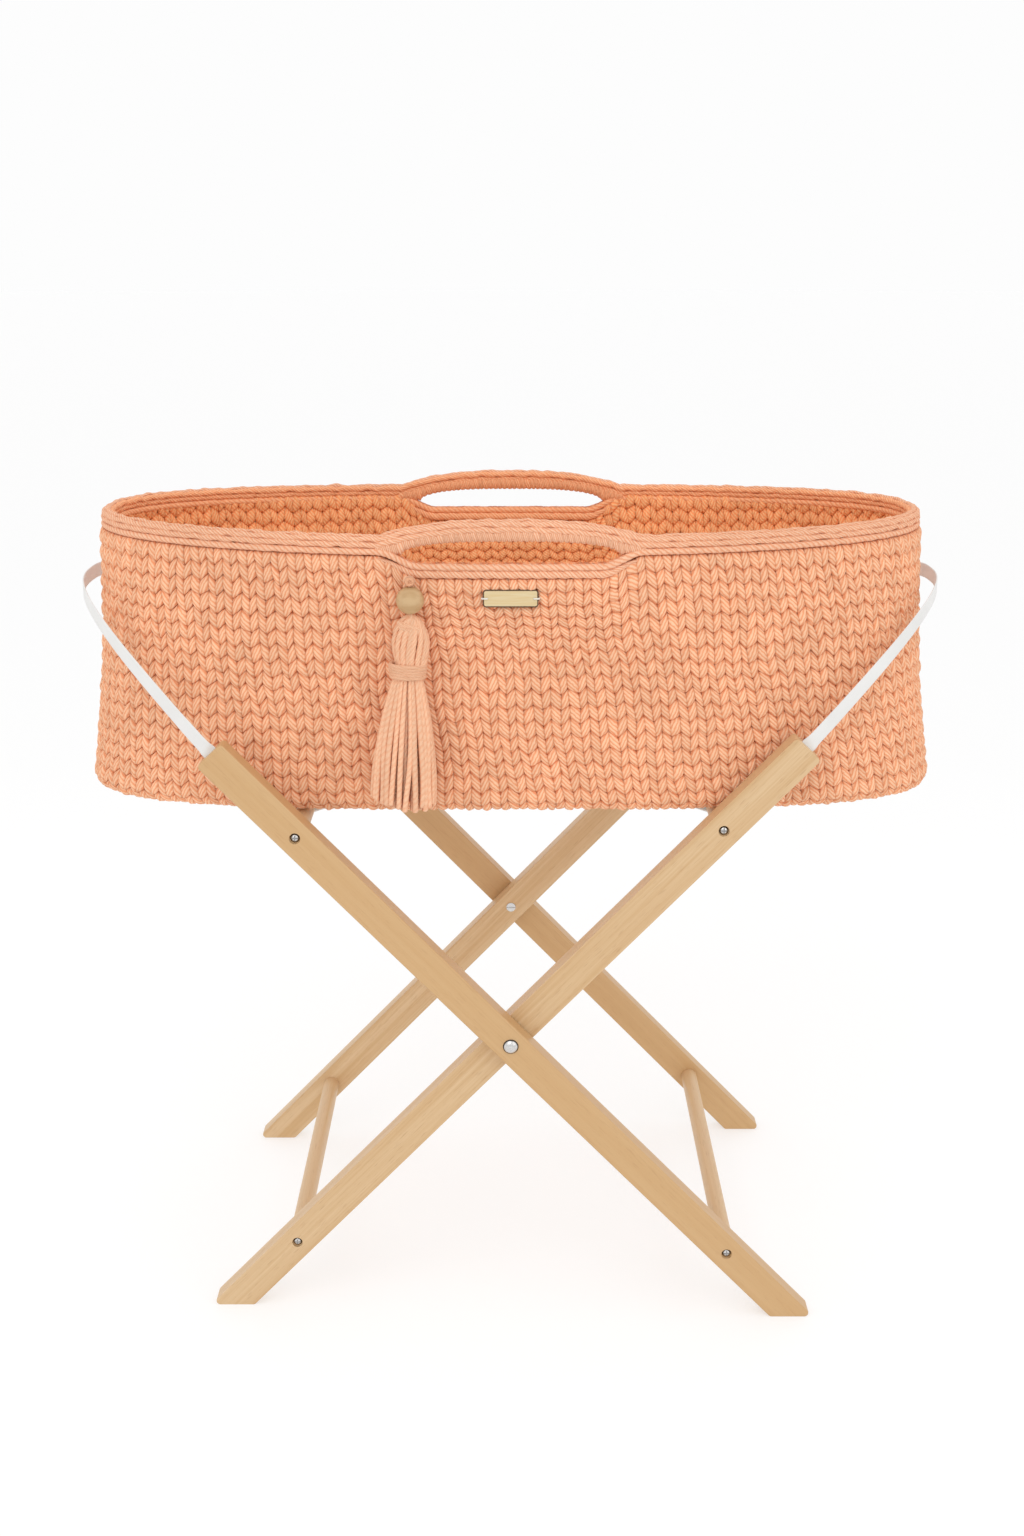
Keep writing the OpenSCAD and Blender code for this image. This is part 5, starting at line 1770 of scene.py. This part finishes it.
class BASKET_OT_legs(bpy.types.Operator):
    """Ease the edges of the legs and finish the wood of the stand"""

    bl_idname = "basket.legs"
    bl_label = "Legs and rails"
    bl_options = {"REGISTER", "UNDO"}

    def execute(self, context):
        look = context.scene.stand_look
        legs = [("front_outer_leg", -1, "frame_outer"), ("back_outer_leg", -1, "frame_outer"),
                ("front_inner_leg", 1, "frame_inner"), ("back_inner_leg", 1, "frame_inner")]
        for number, (node, way, body) in enumerate(legs):
            turn = LEG_SLOPE if way > 0 else math.pi - LEG_SLOPE
            tint = tuple(look.outer_tint) if way < 0 else (1, 1, 1)
            figure = OUTER_FIGURE if way < 0 else 1.0
            # Each leg and rail is cut from another place in the wood
            shift = (0.37 * number, 0.11 * number, 0.2)
            wood = finish(f"beech_{node}", beech, look, (0, turn, 0), shift, tint, figure)
            settle(self.eased(node, way, look, wood), body, "leg_wood", node)
        rails = ("left_upper_rail", "right_lower_rail", "right_upper_rail", "left_lower_rail")
        for number, node in enumerate(rails):
            shift = (0.5 + 0.23 * number, 0.3, 0.1 * number)
            finish_node(node, finish(f"beech_{node}", beech, look, (0, 0, math.pi / 2), shift))
        return {"FINISHED"}

    def eased(self, node, way, look, wood):
        """A copy of a leg with the long edges and the ends of its faces rounded."""
        work = bmesh.new()
        work.from_mesh(frame["nodes"][node].data)
        bmesh.ops.remove_doubles(work, verts=work.verts, dist=1e-6)
        bmesh.ops.dissolve_limit(work, angle_limit=math.radians(1), verts=work.verts, edges=work.edges)
        low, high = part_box(node)
        upper = max(self.along(v.co, way) for v in work.verts)
        picked = [e for e in work.edges if self.on_outline(e, way, low, high, upper)]
        bmesh.ops.bevel(work, geom=picked, offset=look.eased, segments=3, profile=0.6, affect="EDGES",
                        clamp_overlap=True)
        mesh = bpy.data.meshes.new(f"{node}_eased")
        work.to_mesh(mesh)
        work.free()
        mesh.shade_smooth()
        mesh.set_sharp_from_angle(angle=math.radians(40))
        mesh.materials.append(wood)
        obj = link(bpy.data.objects.new(f"{node}_eased", mesh))
        weigh = obj.modifiers.new("even_faces", "WEIGHTED_NORMAL")
        weigh.keep_sharp = True
        return obj

    def along(self, point, way):
        """Distance up a leg from its pivot."""
        return way * point.x * math.cos(LEG_SLOPE) + (point.z - PIVOT_Z) * math.sin(LEG_SLOPE)

    def across(self, point, way):
        """Distance from the middle line of a leg."""
        return -way * point.x * math.sin(LEG_SLOPE) + (point.z - PIVOT_Z) * math.cos(LEG_SLOPE)

    def on_outline(self, edge, way, low, high, upper):
        """Whether an edge lies round a broad face of a leg, and not round a hole in it."""
        a, b = (v.co for v in edge.verts)
        near = 1e-4
        near_end = 5e-4
        rounding = 0.0042
        on_face = any(abs(a.y - y) < near and abs(b.y - y) < near for y in (low.y, high.y))
        if not on_face:
            return False
        middle = (a + b) / 2
        at_side = abs(self.across(middle, way)) > LEG_HALF - rounding
        at_end = self.along(middle, way) > upper - near_end or middle.z < near_end
        return at_side or at_end


class BASKET_OT_fasteners(bpy.types.Operator):
    """Finish the screws, bolts, nuts, washers and pins"""

    bl_idname = "basket.fasteners"
    bl_label = "Fasteners"
    bl_options = {"REGISTER", "UNDO"}

    def execute(self, context):
        # Distance of the drives' floors from the middle of the stand: nearer the middle the steel is painted
        # in shade
        recesses = {"outer_rail_screws": 0.20325, "inner_rail_screws": 0.18175, "pivot_bolts": 0.2063}
        for node, recess in recesses.items():
            finish_node(node, finish(f"{node}_steel", polished_steel, recess))
        for node in ("pivot_nuts", "pivot_washers", "left_strap_pins", "right_strap_pins"):
            finish_node(node, finish("polished_steel", polished_steel))
        return {"FINISHED"}


class BASKET_OT_straps(bpy.types.Operator):
    """Weave the end straps and the support straps, with their sewn tails"""

    bl_idname = "basket.straps"
    bl_label = "Straps"
    bl_options = {"REGISTER", "UNDO"}

    def execute(self, context):
        look = context.scene.stand_look
        webbing = finish("woven_webbing", woven_webbing, look)
        ends = [("left_end_strap", -1, "frame_outer"), ("right_end_strap", 1, "frame_inner")]
        for node, way, body in ends:
            piece = self.end_strap(node, way, look, webbing)
            settle(piece, body, "webbing", node)
            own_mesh(piece)
        for node in ("front_support_strap", "back_support_strap"):
            piece = self.support_strap(node, look, webbing)
            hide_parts(node)
            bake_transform(piece)
        return {"FINISHED"}

    def leg_top(self, way):
        """Middle of a pair of leg tops."""
        upper = 0.4
        return (way * upper * math.cos(LEG_SLOPE), 0, PIVOT_Z + upper * math.sin(LEG_SLOPE))

    def end_strap(self, node, way, look, webbing):
        """Webbing out of the slots in two leg tops and round the end of the basket."""
        low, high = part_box(node)
        legs = "outer" if way < 0 else "inner"
        slot_y = box_middle(f"back_{legs}_leg").y
        slope = np.array([math.cos(LEG_SLOPE), 0, math.sin(LEG_SLOPE)])
        top = np.array(self.leg_top(1))
        lead = 0.012
        bend = 0.009
        slot = 0.0355
        bow_power = 2.6
        crest_power = 2.8
        out = top + lead * slope
        crest_z = high.z - look.strap_width / 2
        end_x = max(abs(low.x), abs(high.x)) - look.strap_thickness / 2
        y = np.linspace(bend - slot_y, slot_y - bend, 61)
        from_middle = np.abs(y) / slot_y
        bow = end_x - (end_x - out[0]) * from_middle ** bow_power
        droop = crest_z - (crest_z - out[2]) * from_middle ** crest_power
        hang = np.stack([bow, y, droop], axis=1)
        across = np.array([0, slot_y, 0])
        foot = top - slot * slope
        lead_in = [foot, foot + 0.5 * (top - foot), top, out - bend / 2 * slope]
        route = np.concatenate([np.array(lead_in) - across, hang, (np.array(lead_in) + across)[::-1]])
        route[:, 0] *= way
        route = even_path(route, 220)
        side, up = path_frames(route, UP)
        skin = ribbon_skin(route, side, up, look.strap_width, look.strap_thickness)
        return skin_piece(f"{node}_webbing", skin, webbing)

    def support_strap(self, node, look, webbing):
        """Wide webbing over both upper rails, with each tail sewn up under itself."""
        low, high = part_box(node)
        middle_y = (low.y + high.y) / 2
        width = high.y - low.y
        rail_low, rail_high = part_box("right_upper_rail")
        rail_r = (rail_high.x - rail_low.x) / 2
        thickness = look.strap_thickness
        gap = 0.0003
        radius = rail_r + gap + thickness / 2
        tail = 0.056
        sewn = 0.034
        rail = UPPER_RAIL
        lean = 2 * math.atan(radius / tail)
        turn = np.linspace(math.pi / 2, math.pi / 2 - math.pi - lean, 26)
        arc = [(rail.x + radius * math.cos(t), rail.z + radius * math.sin(t)) for t in turn]
        tip = (rail.x - tail, rail.z + radius - thickness)
        half = [(0.0, rail.z + radius), (0.5 * rail.x, rail.z + radius), (rail.x - 0.01, rail.z + radius)]
        half += arc + [tip, (tip[0] - sewn, tip[1])]
        flat = [(-x, z) for x, z in reversed(half[1:])] + half
        route = np.array([(x, middle_y, z) for x, z in flat])
        along = path_length(route)
        at = np.linspace(0, along[-1], 300)
        route = np.stack([np.interp(at, along, route[:, i]) for i in range(3)], axis=1)
        ahead = unit_rows(np.gradient(route, axis=0))
        side = np.zeros_like(route)
        side[:, 1] = 1
        skins = [ribbon_skin(route, np.cross(ahead, side), side, width, thickness)]
        for way in (-1, 1):
            middle_x = way * (rail.x - tail - sewn / 2)
            skins += self.sewing(middle_x, middle_y, rail.z + radius + thickness / 2, sewn, width)
        return skin_piece(f"{node}_webbing", joined(skins), webbing, weld=True)

    def sewing(self, x, y, z, sewn, width):
        """A box of stitches with a cross in it, on top of the sewn tail."""
        half_x = 0.4 * sewn
        half_y = 0.38 * width
        corners = [(-half_x, -half_y), (half_x, -half_y), (half_x, half_y), (-half_x, half_y)]
        lines = [(corners[i], corners[(i + 1) % 4]) for i in range(4)]
        lines += [(corners[0], corners[2]), (corners[1], corners[3])]
        pitch = 0.0032
        radius = 0.00035
        rise = (0.00005, 0.00035, 0.00005)
        skins = []
        for start, stop in lines:
            start = np.array(start)
            stop = np.array(stop)
            count = max(2, int(np.linalg.norm(stop - start) / pitch))
            for k in range(count):
                ends = [start + (stop - start) * (k + s) / count for s in (0.12, 0.5, 0.88)]
                dash = np.array([(x + p[0], y + p[1], z + h) for p, h in zip(ends, rise)])
                skins.append(cord_skin(dash, radius, turns=6, plies=2, pitch=0.002, depth=0.05,
                                       reference=UP))
        return skins


def ribbon_skin(route, flat, wide, width, thickness):
    """Webbing along a route: flat points through its thickness and wide across it. Its edges are rounded."""
    half = width / 2
    t = thickness / 2
    near_face = [(-half + t, -t), *((s * half, -t) for s in (-0.6, -0.3, 0, 0.3, 0.6)), (half - t, -t)]
    edge = [(half - 0.3 * t, -0.6 * t), (half, 0), (half - 0.3 * t, 0.6 * t)]
    face_and_edge = np.array(near_face + edge)
    section = np.concatenate([face_and_edge, -face_and_edge])
    flat = unit_rows(flat)
    wide = unit_rows(wide)
    points = (route[:, None, :] + section[None, :, 0, None] * wide[:, None, :]
              + section[None, :, 1, None] * flat[:, None, :])
    sides = len(section)
    quads, corner_r, corner_c = grid_quads(len(route), sides)
    along = path_length(route) / MM
    over = np.append(section[:, 0], section[0, 0]) / MM
    strand = np.stack([over[corner_c], along[corner_r]], axis=2)
    caps = np.concatenate([closing_fan(0, sides)[:, ::-1], closing_fan(len(route) - 1, sides)])
    quads = np.concatenate([quads, caps])
    strand = np.concatenate([strand, np.zeros((len(caps), 4, 2))])
    return plain_skin(points.reshape(-1, 3), quads, strand)


class BASKET_PT_sidebar(bpy.types.Panel):
    """Settings and steps of the basket and its stand"""

    bl_idname = "BASKET_PT_sidebar"
    bl_label = "Basket and stand"
    bl_space_type = "VIEW_3D"
    bl_region_type = "UI"
    bl_category = "Basket"

    def draw(self, context):
        for operator in STEPS:
            self.layout.operator(operator.bl_idname)
        for name, group in GROUPS.items():
            column = self.layout.column(align=True)
            column.label(text=group.__name__)
            settings = getattr(context.scene, name)
            for key in group.__annotations__:
                column.prop(settings, key)


STEPS = (
    BASKET_OT_stage, BASKET_OT_wall, BASKET_OT_rim, BASKET_OT_base, BASKET_OT_inside, BASKET_OT_plate,
    BASKET_OT_tassel, BASKET_OT_legs, BASKET_OT_fasteners, BASKET_OT_straps,
)


def register():
    for group in GROUPS.values():
        bpy.utils.register_class(group)
    for step in STEPS:
        bpy.utils.register_class(step)
    bpy.utils.register_class(BASKET_PT_sidebar)
    for name, group in GROUPS.items():
        setattr(bpy.types.Scene, name, PointerProperty(type=group))


def unregister():
    for name in GROUPS:
        delattr(bpy.types.Scene, name)
    bpy.utils.unregister_class(BASKET_PT_sidebar)
    for step in reversed(STEPS):
        bpy.utils.unregister_class(step)
    for group in reversed(GROUPS.values()):
        bpy.utils.unregister_class(group)


def main():
    register()
    for step in STEPS:
        family, name = step.bl_idname.split(".")
        getattr(getattr(bpy.ops, family), name)()


if __name__ == "__main__":
    main()
